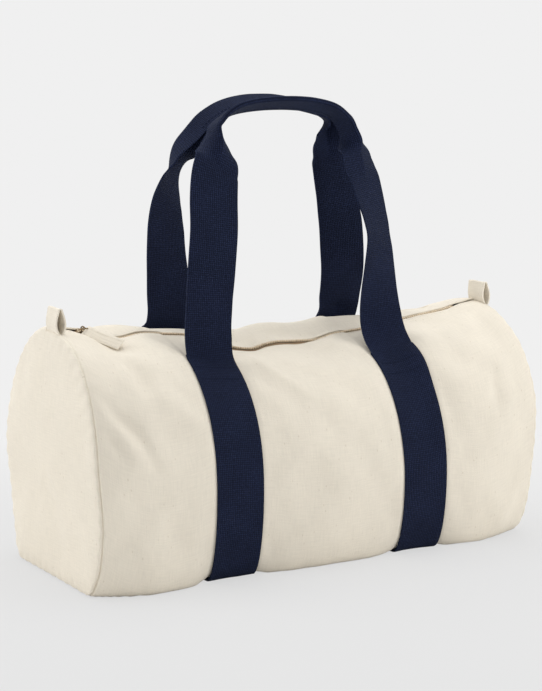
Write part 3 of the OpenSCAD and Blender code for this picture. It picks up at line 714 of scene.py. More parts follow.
class BarrelBagColours(bpy.types.PropertyGroup):
    """Colours of the bag's finishes."""

    canvas: bpy.props.FloatVectorProperty(
        name="Canvas", description="Undyed canvas", default=(0.80, 0.733, 0.618), **COLOUR)
    binding: bpy.props.FloatVectorProperty(
        name="Binding", description="Cotton binding over the raw edges inside",
        default=(0.72, 0.64, 0.53), **COLOUR)
    # The webbing's two colours hold painted light: the darker is painted shade between the ribs,
    # the lighter is painted highlight on their tops
    webbing_dark: bpy.props.FloatVectorProperty(
        name="Webbing hollows", description="Navy webbing between its ribs",
        default=(0.0028, 0.0042, 0.0120), **COLOUR)
    webbing_light: bpy.props.FloatVectorProperty(
        name="Webbing ribs", description="Navy webbing on top of its ribs",
        default=(0.0182, 0.0260, 0.0650), **COLOUR)
    tape: bpy.props.FloatVectorProperty(
        name="Zip tape", description="Tan tape of the zip", default=(0.36, 0.25, 0.15), **COLOUR)
    light_thread: bpy.props.FloatVectorProperty(
        name="Light thread", description="Thread in the canvas",
        default=(0.84, 0.78, 0.68), **COLOUR)
    navy_thread: bpy.props.FloatVectorProperty(
        name="Navy thread", description="Thread in the webbing",
        default=(0.014, 0.018, 0.036), **COLOUR)
    brass: bpy.props.FloatVectorProperty(
        name="Brass", description="Worn brass of the zip", default=(0.36, 0.25, 0.12), **COLOUR)
    teeth: bpy.props.FloatVectorProperty(
        name="Teeth", description="Pale worn brass of the teeth",
        default=(0.80, 0.66, 0.48), **COLOUR)
    brass_dull: bpy.props.FloatVectorProperty(
        name="Dull brass", description="Antique finish in the hollows",
        default=(0.09, 0.06, 0.035), **COLOUR)


class BarrelBagSizes(bpy.types.PropertyGroup):
    """Sizes that can be changed without changing the frame."""

    canvas_thickness: bpy.props.FloatProperty(
        name="Canvas thickness", description="Thickness of the canvas",
        default=0.0014, min=0.0008, max=0.002, **LENGTH)
    webbing_thickness: bpy.props.FloatProperty(
        name="Webbing thickness", description="Thickness of the webbing",
        default=0.0018, min=0.0012, max=0.0024, **LENGTH)
    canvas_pitch: bpy.props.FloatProperty(
        name="Canvas weave", description="Length of one repeat of the canvas weave",
        default=0.0011, min=0.0008, max=0.003, **LENGTH)
    rib_pitch: bpy.props.FloatProperty(
        name="Webbing rib", description="Distance between the webbing's ribs",
        default=0.0020, min=0.001, max=0.004, **LENGTH)
    pucker: bpy.props.FloatProperty(
        name="Seam pucker", description="Height of the gathers beside the end seams",
        default=0.0004, min=0, max=0.002, **LENGTH)
    stitch: bpy.props.FloatProperty(
        name="Stitch length", description="Length of one stitch",
        default=0.0028, min=0.001, max=0.005, **LENGTH)
    tooth_pitch: bpy.props.FloatProperty(
        name="Tooth pitch", description="Distance between the zip's teeth on one side",
        default=0.0027, min=0.0015, max=0.005, **LENGTH)


# ---------------------------------------------------------------- canvas


def body_columns():
    """Places along the bag of the canvas grid's columns, closer together near the end seams."""
    ends = HALF_LENGTH - END_CROWD * np.linspace(0, 1, 28) ** 1.9
    right = np.linspace(MOUTH_HALF, HALF_LENGTH - END_CROWD, 69)[1:-1]
    left = np.linspace(END_CROWD - HALF_LENGTH, -MOUTH_HALF, 69)[1:-1]
    mouth = np.linspace(-MOUTH_HALF, MOUTH_HALF, 55)
    return np.concatenate([-ends, left, mouth, right, ends[::-1]])


def turned_edge(x):
    """How far the canvas rolls in beside the end seams."""
    gap = HALF_LENGTH - np.abs(x)
    return -4.6 * bell(gap) - 0.5 * bell(gap / 4)


def canvas_offset(p, along):
    """How far points of the body canvas move along their normals."""
    x = p[..., 0]
    gap = HALF_LENGTH - np.abs(x)
    folds = np.sin(along * 2 * math.pi / 17 + 1.3 * np.sin(along / 31))
    folds = folds + 0.6 * np.sin(along * 2 * math.pi / 9.3 + x / 9)
    gathers = setting("pucker") * np.exp(-gap / 13) * folds
    quiet = smoothstep(2, 30, p[..., 2])
    d = canvas_relief(p) * (1 - 0.85 * near_strap(x, 14)) * (1 - np.exp(-gap / SEAM_REACH))
    d = d + gathers * quiet * (1 - near_strap(x, 10))
    return d + turned_edge(x) - 1.3 * near_strap(x)


def shoulder(points):
    """How far the canvas and the webbing stand out at the front of the right strap."""
    x, y, z = np.moveaxis(points, -1, 0)
    return 4.2 * bell((x - 130) / 21, (z - 190) / 16) * smoothstep(20, 40, -y)


def lean(points):
    """Draws the ends in near the floor, and lets the right one out beside its middle."""
    x, z = points[..., 0], points[..., 2]
    low = -4.2 * (1 - smoothstep(62, 128, z)) + np.where(x < 0, 2.4, 0) * (1 - smoothstep(4, 34, z))
    high = 3.4 * smoothstep(108, 150, z) * (1 - smoothstep(196, 228, z))
    shift = (low + np.where(x > 0, high, 0)) * smoothstep(165, HALF_LENGTH, np.abs(x))
    moved = points.copy()
    moved[..., 0] = x + np.sign(x) * shift
    return moved


def settle(points):
    """Keeps the canvas on the floor, and lifts it over the webbing."""
    x, z = points[..., 0], points[..., 2]
    lift = 2.1 * near_strap(x, 16) * (1 - smoothstep(5, 60, z))
    points[..., 2] = np.maximum(z, 0.05) + lift
    return points


def body_grid(columns, rows):
    """The canvas from the front fold line under the bag to the back fold line."""
    points = np.zeros((rows, len(columns), 3))
    along = np.zeros((rows, len(columns)))
    for j, x in enumerate(columns):
        line, even = section_between(x, FOLD_Y, FOLD_Y, rows)
        points[:, j, 0] = x
        points[:, j, 1:] = line
        along[:, j] = even - even[-1] / 2
    n = outward(points, np.array([0, 0, MIDDLE_Z]))
    points = points + n * (canvas_offset(points, along) + shoulder(points))[..., None]
    return pressed(lean(settle(points))), along


@functools.cache
def fold_lines():
    """The body canvas's front and back fold lines."""
    return body_grid(body_columns(), BODY_ROWS)[0][[0, -1]]


def body_edge(columns, side):
    """The body canvas's own fold line, which the canvas beside the zip goes on from."""
    row = fold_lines()[0 if side < 0 else 1]
    row = row[np.argsort(row[:, 0])]
    return np.stack([columns, *(np.interp(columns, row[:, 0], row[:, k]) for k in (1, 2))], -1)


def mouth_grid(columns, side, rows):
    """One side of the canvas on top, from its fold line to the folded lip beside the zip."""
    lip = lip_y(columns, side)
    t = np.linspace(0, 1, rows)[:, None]
    y = side * (FOLD_Y + (lip[None, :] - FOLD_Y) * t)
    x = np.broadcast_to(columns[None, :], y.shape)
    points = np.stack([x, y, top_z(x, y)], -1)
    along = np.abs(y)
    n = normals_of(points)
    n = np.where(n[..., 2:] < 0, -n, n)
    off = np.abs(y) - lip
    near = bell(off / 7)
    from_seam = 1 - np.exp(-(HALF_LENGTH - np.abs(x)) / SEAM_REACH)
    d = canvas_relief(points) * (1 - 0.85 * near) * from_seam
    d = d * (1 - 0.85 * near_strap(x, 14)) + turned_edge(x) - 1.3 * near_strap(x)
    d = d + 0.12 * near * np.sin(x * 2 * math.pi / 31 + 2 * np.sin(x / 37) + side)
    d = d + 0.3 * bell((off - 1.2) / 1.6) - 0.3 * bell((off - 3.4) / 1.1)
    points = pressed(points + n * d[..., None])
    if side < 0:
        points[..., 2] -= (1.9 * teeth_shown(x) + 4.6 * bell((x + 210) / 12)) * near
    meet = body_edge(columns, side) - points[0]
    points = points + meet[None] * ((1 - t) ** 2)[..., None]
    edge, slope, down = points[-1], unit(points[-1] - points[-2]), -n[-1]
    hem = [edge + HEM_RADIUS * (slope * math.sin(a) + down * (1 - math.cos(a)))
           for a in np.linspace(0, math.pi, 6)[1:]]
    hem += [edge + down * (2 * HEM_RADIUS + 0.035 * far * far) - slope * far for far in (4.0, 8.0)]
    past = np.array([0.6, 1.1, 1.7, 2.3, 2.8, 6.8, 10.8])[:, None]
    return np.concatenate([points, hem]), np.concatenate([along, along[-1:] - past])


def teeth_shown(x):
    """Where the front canvas has slipped down and bares the teeth, from 0 to 1."""
    return smoothstep(-92, -76, x) * (1 - smoothstep(22, 52, x))


def pressed(points):
    """Presses the front canvas down under the pull and near the zip's right end."""
    x, y, z = np.moveaxis(points, -1, 0)
    dip = sum(deep * bell((x - at) / long, (y - off) / wide) for at, off, deep, long, wide in DIPS)
    return points - (dip * smoothstep(190, 206, z))[..., None] * np.array([0, 0, 1.0])


def lip_y(x, side):
    """How far the folded lips stand from the middle of the zip."""
    x = np.asarray(x, float)
    gap = 1.7 + 1.5 * teeth_shown(x) if side < 0 else 1.2 + 0.3 * teeth_shown(x)
    seat = SLIDER_X + SLIDER_SHIFT[0] / MM
    gap = gap + 0.12 * np.sin(x / 19) + 3.2 * bell((x - seat) / np.where(x < seat, 4, 10))
    gap = gap + 1.6 * bell((x - 207) / 12)
    shut = smoothstep(np.where(x < 0, 219, 222), np.where(x < 0, 224, 233), np.abs(x))
    return gap * (1 - shut) + 0.25 * shut


class BARREL_BAG_OT_body_panel(bpy.types.Operator):
    """Makes the canvas body, from the fold beside the zip round the floor to the other fold"""

    bl_idname = "barrel_bag.body_panel"
    bl_label = "Body panel"

    def execute(self, context):
        columns = body_columns()
        points, along = body_grid(columns, BODY_ROWS)
        body = grid_object("canvas_body", points, columns, along, outside=(0, 0, MIDDLE_Z))
        thicken(body, setting("canvas_thickness"))
        dress(body, "undyed_canvas")
        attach(body, "bag")
        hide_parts("body_panel")
        return {"FINISHED"}


class BARREL_BAG_OT_mouth_edges(bpy.types.Operator):
    """Makes the canvas beside the zip, with its turned lips and their topstitching"""

    bl_idname = "barrel_bag.mouth_edges"
    bl_label = "Mouth edges"

    def execute(self, context):
        columns = body_columns()
        for side, word in SIDES:
            whole, far = mouth_grid(columns, side, 20)
            for end, keep in (("left", columns <= MOUTH_HALF + 0.01),
                              ("right", columns >= MOUTH_HALF - 0.01)):
                own = columns[keep]
                panel = grid_object(f"canvas_lip_{word}_{end}", whole[:, keep], own, far[:, keep])
                y = side * np.linspace(FOLD_Y - 2, FOLD_Y + 9, 6)[:, None]
                x, y = np.broadcast_arrays(own[None, :], y)
                tuck = np.stack([x, y, top_z(x, y) - 3.2 - 1.3 * near_strap(x)], -1)
                inner = grid_object("tuck", pressed(tuck), x, np.abs(y))
                for part in (panel, inner):
                    face_towards(part, (0, 0, 1))
                panel = joined(panel.name, [panel, inner])
                thicken(panel, LIP_THICKNESS)
                dress(panel, "undyed_canvas")
                self.ride_mouth(panel, word, end)
                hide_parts("mouth_edge_" + word)
                rows = self.stitches(own, side)
                rows.name = rows.data.name = f"lip_stitching_{word}_{end}"
                dress(rows, "light_sewing_thread")
                self.ride_mouth(rows, word, end)
        return {"FINISHED"}

    @staticmethod
    def ride_mouth(obj, word, end):
        """Bakes a piece's place into its mesh."""
        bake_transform(obj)

    @staticmethod
    def stitches(columns, side):
        """The row of topstitching beside a lip."""
        xs = np.arange(columns[0] + 4, columns[-1] - 1, setting("stitch") * 1.3)
        xs = xs[np.abs(xs) < HALF_LENGTH - 6]
        ys = side * (lip_y(xs, side) + 3.4)
        grid, _ = mouth_grid(xs, side, 40)
        row = np.abs(np.abs(grid[:40, :, 1]) - np.abs(ys)[None, :]).argmin(axis=0)
        spots = grid[row, np.arange(len(xs))]
        places = [(spots[k] + [0, 0, 0.12], spots[k + 1] - spots[k], (0, 0, 1))
                  for k in range(len(xs) - 1) if abs(abs(xs[k]) - STRAP_X) >= 0.1]
        return pieces_along("stitches", places, stitch_maker(setting("stitch"), 0.75, 0.7))


class BARREL_BAG_OT_end_panels(bpy.types.Operator):
    """Makes the two end panels, sewn in with their edges turned inside"""

    bl_idname = "barrel_bag.end_panels"
    bl_label = "End panels"

    def execute(self, context):
        # Rings from the seam to the middle: how far in, and how far out past the seam
        inset = np.array([
            4.3, 2.5, 1.7, 1.6, 1.9, 2.7, 4.2, 7, 11, 17, 25, 36, 48, 60, 72, 84, 96, 106])
        rise = (-4.4, -2.3, -0.7, 0.5, 1.35, 1.9, 2.5, 3.1, 3.6, 4.2, 4.8, 5.3, 5.7, 6, 6.2,
                6.3, 6.3, 6.3)
        for way, word in ENDS:
            front, back = (np.column_stack(half_section(way * HALF_LENGTH, side)) * (side, 1)
                           for side in (-1, 1))
            loop, even = evened(np.concatenate([front, back[::-1], front[:1]]), 221)
            radius = np.linalg.norm(loop - END_MIDDLE, axis=1)
            rings = []
            for i, up in zip(inset, rise):
                scale = np.maximum(1 - i / radius * np.clip(radius / 112, 0.75, 1.0), 0.0)
                if i == inset[-1]:
                    scale = scale * 0
                ring = END_MIDDLE + (loop - END_MIDDLE) * scale[:, None]
                rings.append(np.column_stack([np.full(len(loop), way * (HALF_LENGTH + up)), ring]))
            points = np.array(rings)
            depth = inset[:, None]
            p = points * (1.7, 1, 1)
            d = (1.4 * slack(p) + rumple(p)) * smoothstep(3, 30, depth) * 0.9
            gathers = 0.55 * bell((depth - 5) / 8) * np.sin(even[None, :] * 2 * math.pi / 16)
            points[..., 0] += way * (d + gathers)
            points[..., 0] = way * np.minimum(way * points[..., 0], HALF_LENGTH + 9)
            points[..., 2] = np.maximum(points[..., 2], 0.3)
            across, up = points[..., 1], points[..., 2]
            panel = grid_object("canvas_end_" + word, lean(points), across, up, weld=0.02)
            face_towards(panel, (way, 0, 0))
            thicken(panel, setting("canvas_thickness"))
            dress(panel, "undyed_canvas")
            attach(panel, "bag")
            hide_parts("end_panel_" + word)
        return {"FINISHED"}


class BARREL_BAG_OT_bindings(bpy.types.Operator):
    """Makes the bindings over the raw edges of the end seams, inside the bag"""

    bl_idname = "barrel_bag.bindings"
    bl_label = "Seam bindings"

    def execute(self, context):
        for way, word in ENDS:
            rings = []
            for far, deep in ((3.0, 3.4), (3.0, 5.6), (12.5, 5.6), (12.5, 3.4), (3.0, 3.4)):
                x = way * (HALF_LENGTH - far)
                line, even = section_between(x, 26.0, 26.0, 150)
                line = line + unit(np.array([0, 115.0]) - line) * deep
                rings.append(np.column_stack([np.full(len(line), x), line]))
            u = np.array([0, 2.2, 11.7, 13.9, 23.4])[:, None]
            band = grid_object("binding_" + word, lean(np.array(rings)), u, even, weld=0.02)
            dress(band, "cotton_binding")
            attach(band, "bag")
            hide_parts("seam_binding_" + word)
        return {"FINISHED"}


# ---------------------------------------------------------------- webbing


def fold_section(a, fold, radius=1.8):
    """The webbing's middle line across its width: a is the distance from its crease, fold 0 is flat
    and 1 is folded in half. Gives (side, depth)."""
    beta = max(fold, 1e-4) * math.pi / 2
    bent = np.clip(np.abs(a), 0, radius * beta)
    theta = bent / radius
    rest = np.abs(a) - bent
    side = radius * np.sin(theta) + rest * math.cos(beta)
    depth = radius * (1 - np.cos(theta)) + rest * math.sin(beta)
    return np.sign(a) * side, depth


# Handles as measured, in millimetres: along, across and up at the middle of the webbing, the share
# to which it is folded in half, and its turn about its own length in degrees
FRONT_HANDLE = [
    [-106.5, -63, 194.8, 0, 0], [-106.6, -57.5, 200.6, 0, 0], [-106.8, -53.5, 206, 0, -1],
    [-107, -51.5, 213, 0, -2], [-107.8, -51.5, 224, 0, 0.2], [-108.4, -52, 236, 0, -0.3],
    [-107.6, -53, 258.6, 0, -0.4], [-105.7, -53, 281.4, 0, 1.9], [-102.6, -51, 303.9, 0, 2.7],
    [-99.2, -48, 326.4, 0, 3], [-94.9, -40, 356.3, 0, 4.3], [-92, -36, 371.3, 0, 3.7],
    [-89.1, -33, 382, 0, 2], [-85.2, -29.5, 390, 0, 0.96], [-82.3, -26.5, 396, 0.17, 1.8],
    [-81, -24, 401.4, 0.4, 3.5], [-79.6, -20.5, 409, 0.61, 6], [-79.4, -18, 416.6, 0.79, 9.2],
    [-79.4, -15.5, 423, 0.93, 11.4], [-74, -13, 430, 0.99, 12.4], [-66.2, -12.5, 436.7, 1, 15.9],
    [-54.3, -14, 442.9, 1, 20], [-34.7, -17, 447, 1, 22], [-15, -19.2, 448.6, 1, 22],
    [0, -20, 448.9, 1, 22], [18.4, -20.5, 448.2, 1, 22], [31, -20.5, 446.7, 1, 21],
    [44.1, -19.5, 444.4, 1, 19], [55, -16.5, 441.2, 1, 15], [64, -13, 437.2, 1, 11],
    [72.8, -10, 431.5, 0.99, 14.2], [78.1, -9.5, 424.1, 0.95, 9.3], [82.2, -11.5, 416.1, 0.79, 5.9],
    [85.3, -14, 407.4, 0.45, 17.1], [86.4, -16, 399.5, 0.12, 24], [87.2, -18, 391.9, 0.14, 22.6],
    [88.9, -20, 383.8, 0.13, 22.4], [92.2, -22, 369.6, 0, 23.7], [96.4, -25, 351.4, 0, 26.5],
    [99.8, -28, 335.2, 0, 29.8], [102.5, -30, 318.8, 0, 30.4], [103.5, -31, 298, 0, 24.3],
    [103.5, -31, 277.9, 0, 17.5], [103.4, -31, 261.4, 0, 11], [103.8, -31.5, 245, 0, 4],
    [104.7, -33, 230, 0, -1.6], [105.4, -37, 217.4, 0, -3.9], [106, -43, 208.5, 0, -4],
    [106.4, -50, 201.6, 0, -3], [106.5, -57, 194.8, 0, -1], [106.5, -62.5, 189, 0, 0]]
BACK_HANDLE = [
    [-106.5, 70, 205, 0, 0], [-104.6, 65, 210.5, 0, 0], [-101.1, 59.5, 216.5, 0, 0],
    [-98.5, 53.5, 223, 0, 0], [-97.5, 49.5, 231.5, 0, 0], [-97.4, 47.5, 241, 0, 1],
    [-98.8, 46.5, 258, 0, 3], [-100.3, 46.5, 280, 0, 9], [-101.6, 46.5, 303.4, 0, 14.2],
    [-100.3, 49, 321.2, 0, 16.7], [-98.5, 52, 336.9, 0, 22], [-96.3, 54, 348.8, 0, 27],
    [-93.5, 56, 360.6, 0, 35.5], [-92.3, 57, 368, 0.02, 41], [-90.8, 57.3, 376, 0.06, 46],
    [-89.1, 56.4, 384, 0.14, 49.5], [-86.9, 54, 392, 0.29, 50], [-83.8, 50.2, 400, 0.51, 43],
    [-79.5, 46.4, 407.6, 0.78, 32], [-74.1, 43.4, 415.6, 0.94, 26], [-67.6, 41.3, 424, 0.99, 25],
    [-60.3, 40, 432, 1, 25], [-50.2, 38.5, 439, 1, 25], [-38.9, 37, 444.8, 1, 25],
    [-22.2, 36, 449.4, 1, 25], [-5.2, 35, 451.6, 1, 25], [14.5, 34.5, 452, 1, 25],
    [32, 33, 450.3, 1, 25], [48, 32, 447, 1, 23], [62, 31.5, 442.6, 1, 18],
    [74.8, 32, 437.6, 1, 10], [83.8, 33, 431, 0.79, 12.9], [85.7, 36, 423.5, 0.48, 10.4],
    [87.8, 39, 415.8, 0.41, 7.4], [89.4, 41, 407.4, 0.25, 4.6], [91.7, 42.5, 399.1, 0.17, 0.93],
    [93.5, 43, 390.7, 0, 0], [95.4, 42, 374, 0, 0], [97.6, 41, 357.2, 0, 0],
    [100, 40.5, 340.3, 0, 3.4], [102.8, 40.5, 323.4, 0, 7.1], [104.9, 41, 300, 0, 8.6],
    [106.9, 43, 274, 0, 5.4], [107.3, 48.5, 248, 0, 0.93], [106.9, 53.5, 233, 0.17, -1.4],
    [106.6, 59, 222, 0, 0], [106.5, 65, 214.6, 0, 0], [106.5, 71, 207.5, 0, 0]]


def handle_frames(table, side, count):
    """A handle's middle line with its directions: points, along, across, depth, fold and length."""
    table = np.array(table, float)
    chord = lengths_along(table)
    fine = smooth_curve(chord, table)(np.linspace(0, chord[-1], 600))
    for _ in range(10):
        fine[1:-1] = (fine[:-2] + 2 * fine[1:-1] + fine[2:]) / 4
    rows, even = evened(fine, count)
    path = rows[:, :3]
    along = unit(np.gradient(path, axis=0))
    back = np.array([0, -side, 0], float)
    depth = unit(back - (along @ back)[:, None] * along)
    turn = np.radians(rows[:, 4])[:, None] * side
    depth = depth * np.cos(turn) + np.cross(along, depth) * np.sin(turn)
    across = np.cross(depth, along)
    return path, along, across, depth, rows[:, 3], even


def folded(places, fold):
    """The webbing's middle line across its width, with its depth centred on the handle's line."""
    s, d = fold_section(places, fold)
    return s, d - 0.5 * fold_section(np.array([STRAP_HALF]), fold)[1][0]


def handle_points(table, side, count, places):
    """Points across the webbing of a handle, for distances from its crease."""
    path, _, across, depth, fold, even = handle_frames(table, side, count)
    grid = np.zeros((count, len(places), 3))
    for k in range(count):
        s, d = folded(places, fold[k])
        grid[k] = path[k] + s[:, None] * across[k] + d[:, None] * depth[k]
    return grid, even


def strap_grid(way):
    """The middle surface of the webbing round the body, its normals, and lengths along it."""
    across = np.linspace(-STRAP_HALF, STRAP_HALF, 19)
    cut = STRAP_FRONT_Y - 1.5, STRAP_BACK_Y + 2.5, STRAP_ROWS
    cloth = np.zeros((STRAP_ROWS, len(across), 3))
    cloth[..., 0] = way * STRAP_X + across
    for j, a in enumerate(across):
        cloth[:, j, 1:] = section_between(way * STRAP_X + a, *cut)[0]
    middle, even = section_between(way * STRAP_X, *cut)
    points = cloth.copy()
    points[..., 1:] = 0.5 * cloth[..., 1:] + 0.5 * middle[:, None]
    n = outward(points, np.array([way * STRAP_X, 0, MIDDLE_Z]))
    buried = ((cloth - points) * n).sum(axis=-1)
    points = points + n * (np.maximum(buried, 0) + 0.5 * smoothstep(0, 1, buried))[..., None]
    edge = np.abs(across) / STRAP_HALF
    points = points + n * (0.1 - 0.35 * edge ** 8 + shoulder(points))[..., None]
    points[..., 2] = np.maximum(points[..., 2], 0.95)
    return points, n, even, across


def laid_on_strap(grid, lengths, places, side):
    """Lets the lower ends of a handle run into the webbing sewn round the body."""
    out = grid.copy()
    reach = 23 if side < 0 else 34
    for way, rows in ((-1, np.arange(len(grid))), (1, np.arange(len(grid))[::-1])):
        strap, n, even, across = strap_grid(way)
        if side > 0:
            strap, n = strap[::-1], n[::-1]
        middle = strap[:, len(across) // 2]
        reached = np.abs(lengths - lengths[rows[0]])
        foot = even[np.linalg.norm(middle - grid[rows[0], grid.shape[1] // 2], axis=1).argmin()]
        for k in rows:
            if reached[k] > reach:
                break
            low = np.interp(foot - reached[k], even, np.arange(len(even)))
            i = min(int(low), len(even) - 2)
            spots = strap[i] + (low - i) * (strap[i + 1] - strap[i])
            spots = spots + n[i] * (0.1 - 1.1 * (1 - float(smoothstep(0, 1.5, reached[k]))))
            if foot <= reached[k]:
                spots = spots + (reached[k] - foot) * unit(strap[0] - strap[1])
            sense = 1 if grid[k, -1, 0] > grid[k, 0, 0] else -1
            laid = np.stack([np.interp(sense * places, across, spots[:, c]) for c in range(3)], -1)
            share = float(smoothstep(3, reach, reached[k]))
            out[k] = (1 - share) * laid + share * grid[k]
    return out


class BARREL_BAG_OT_straps(bpy.types.Operator):
    """Makes the webbing sewn round the body, with the rows of thread at its ends"""

    bl_idname = "barrel_bag.straps"
    bl_label = "Straps"

    def execute(self, context):
        rows = []
        for way, word in ENDS:
            points, n, even, across = strap_grid(way)
            strap = grid_object("webbing_strap_" + word, points, across, even[:, None],
                                outside=(way * STRAP_X, 0, MIDDLE_Z))
            thicken(strap, setting("webbing_thickness"), 0.0)
            dress(strap, "navy_webbing")
            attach(strap, "bag")
            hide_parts("strap_" + word)
            for first in (18.5, 30.0, even[-1] - 18.5, even[-1] - 30.0):
                k = int(np.abs(even - first).argmin())
                for a in np.arange(-STRAP_HALF + 4.6, STRAP_HALF - 4.2, setting("stitch") * 1.15):
                    part, j = math.modf((a + STRAP_HALF) / (2 * STRAP_HALF) * (len(across) - 1))
                    j = int(j)
                    spot = points[k, j] + part * (points[k, j + 1] - points[k, j])
                    rows.append((spot + n[k, j] * 1.02, (1, 0, 0), n[k, j]))
        thread = pieces_along("strap_threads", rows, stitch_maker(setting("stitch"), 0.9, 0.7))
        dress(thread, "navy_sewing_thread")
        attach(thread, "bag")
        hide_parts("strap_stitching")
        return {"FINISHED"}


class BARREL_BAG_OT_handles(bpy.types.Operator):
    """Makes the two carrying handles, folded in half and sewn along their grips"""

    bl_idname = "barrel_bag.handles"
    bl_label = "Handles"

    def execute(self, context):
        t = np.linspace(-1, 1, 33)
        places = STRAP_HALF * np.sign(t) * np.abs(t) ** 1.25
        for (side, word), table in zip(SIDES, (FRONT_HANDLE, BACK_HANDLE)):
            grid, even = handle_points(table, side, HANDLE_ROWS, places)
            grid = laid_on_strap(grid, even, places, side)
            handle = grid_object("webbing_handle_" + word, grid, places, even[:, None])
            thicken(handle, setting("webbing_thickness"), 0.0)
            dress(handle, "navy_webbing")
            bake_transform(handle)
            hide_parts("handle_" + word)
            self.grip_rows(word, side, table)
        return {"FINISHED"}

    @staticmethod
    def grip_rows(word, side, table):
        """The row of thread through both halves of a grip."""
        path, along, across, depth, fold, even = handle_frames(table, side, THREAD_ROWS)
        places = []
        far = -10.0
        for k in range(len(path)):
            if abs(path[k, 0]) > GRIP_HALF or even[k] - far < setting("stitch") * 1.3:
                continue
            far = even[k]
            for face in (-1, 1):
                s, d = folded(np.array([face * 20.5]), fold[k])
                spot = path[k] + (s[0] + face * 1.0) * across[k] + d[0] * depth[k]
                places.append((spot, along[k], face * across[k]))
        thread = pieces_along("grip_threads_" + word, places,
                              stitch_maker(setting("stitch"), 0.8, 0.6))
        dress(thread, "navy_sewing_thread")
        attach(thread, word + "_handle")
        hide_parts("grip_stitching_" + word)


# ---------------------------------------------------------------- zip


class BARREL_BAG_OT_zip(bpy.types.Operator):
    """Makes the zip's tapes and its two rows of teeth, and finishes its stops"""

    bl_idname = "barrel_bag.zip"
    bl_label = "Zip"

    def execute(self, context):
        xs = np.linspace(-226, 226, 240)
        xs = np.sort(np.append(xs[np.abs(xs - MOUTH_HALF) > 0.2], MOUTH_HALF))
        for side, word in SIDES:
            for end in ("left", "right"):
                own = xs[xs <= MOUTH_HALF] if end == "left" else xs[xs >= MOUTH_HALF]
                y = ZIP_Y + side * np.array([1.25, 1.6, 4, 8, 12, 14.5])[:, None]
                x, y = np.broadcast_arrays(own[None, :], y)
                drop = np.array([0.0, 0.0, 0.5, 0.9, 1.3, 1.6])[:, None]
                z = np.minimum(zip_z(x) - 0.9 - drop, top_z(x, y) - 3.0 - 0.2 * np.abs(y))
                z[0:2] = zip_z(x[0:2]) - 0.9
                z = z + 0.7 * teeth_shown(x) * bell(y / 5)
                tape = grid_object(f"zip_tape_twill_{word}_{end}", np.stack([x, y, z], -1), x, y)
                face_towards(tape, (0, 0, 1))
                thicken(tape, TAPE_THICKNESS)
                dress(tape, "zip_tape_twill")
                BARREL_BAG_OT_mouth_edges.ride_mouth(tape, word, end)
                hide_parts("zip_tape_" + word, "zip_tape_" + end)
                teeth = self.teeth(side, own, setting("tooth_pitch"))
                teeth.name = teeth.data.name = f"zip_teeth_row_{word}_{end}"
                dress(teeth, "worn_brass")
                BARREL_BAG_OT_mouth_edges.ride_mouth(teeth, word, end)
                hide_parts("zip_teeth_" + word, "zip_teeth_" + end)
        for end in ("left", "right"):
            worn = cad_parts["zip_stop_" + end].data.materials
            for k in range(len(worn)):
                worn[k] = finish_named("worn_brass")
        return {"FINISHED"}

    @staticmethod
    def teeth(side, own, pitch):
        """One row of metal teeth, each clamped over the edge of its tape."""
        first = math.ceil(own[0] / pitch) * pitch + (0 if side < 0 else pitch / 2)
        xs = np.arange(first, own[-1] - 0.1, pitch)
        xs = xs[np.abs(xs) < TEETH_END]
        z = zip_z(xs) + 1.2 * teeth_shown(xs)
        places = [((x, side * 0.95 + ZIP_Y, h + 0.35), (1, 0, k), (-k, 0, 1))
                  for x, h, k in zip(xs, z, np.gradient(z, xs))]

        def tooth(bm, place):
            for v in bmesh.ops.create_cube(bm, size=1)["verts"]:
                wide, high = (1.05, 1.5) if v.co.y * side < 0 else (1.35, 2.3)
                v.co = place @ Vector((v.co.x * wide, v.co.y * 3.0, v.co.z * high))

        return pieces_along("teeth", places, tooth)


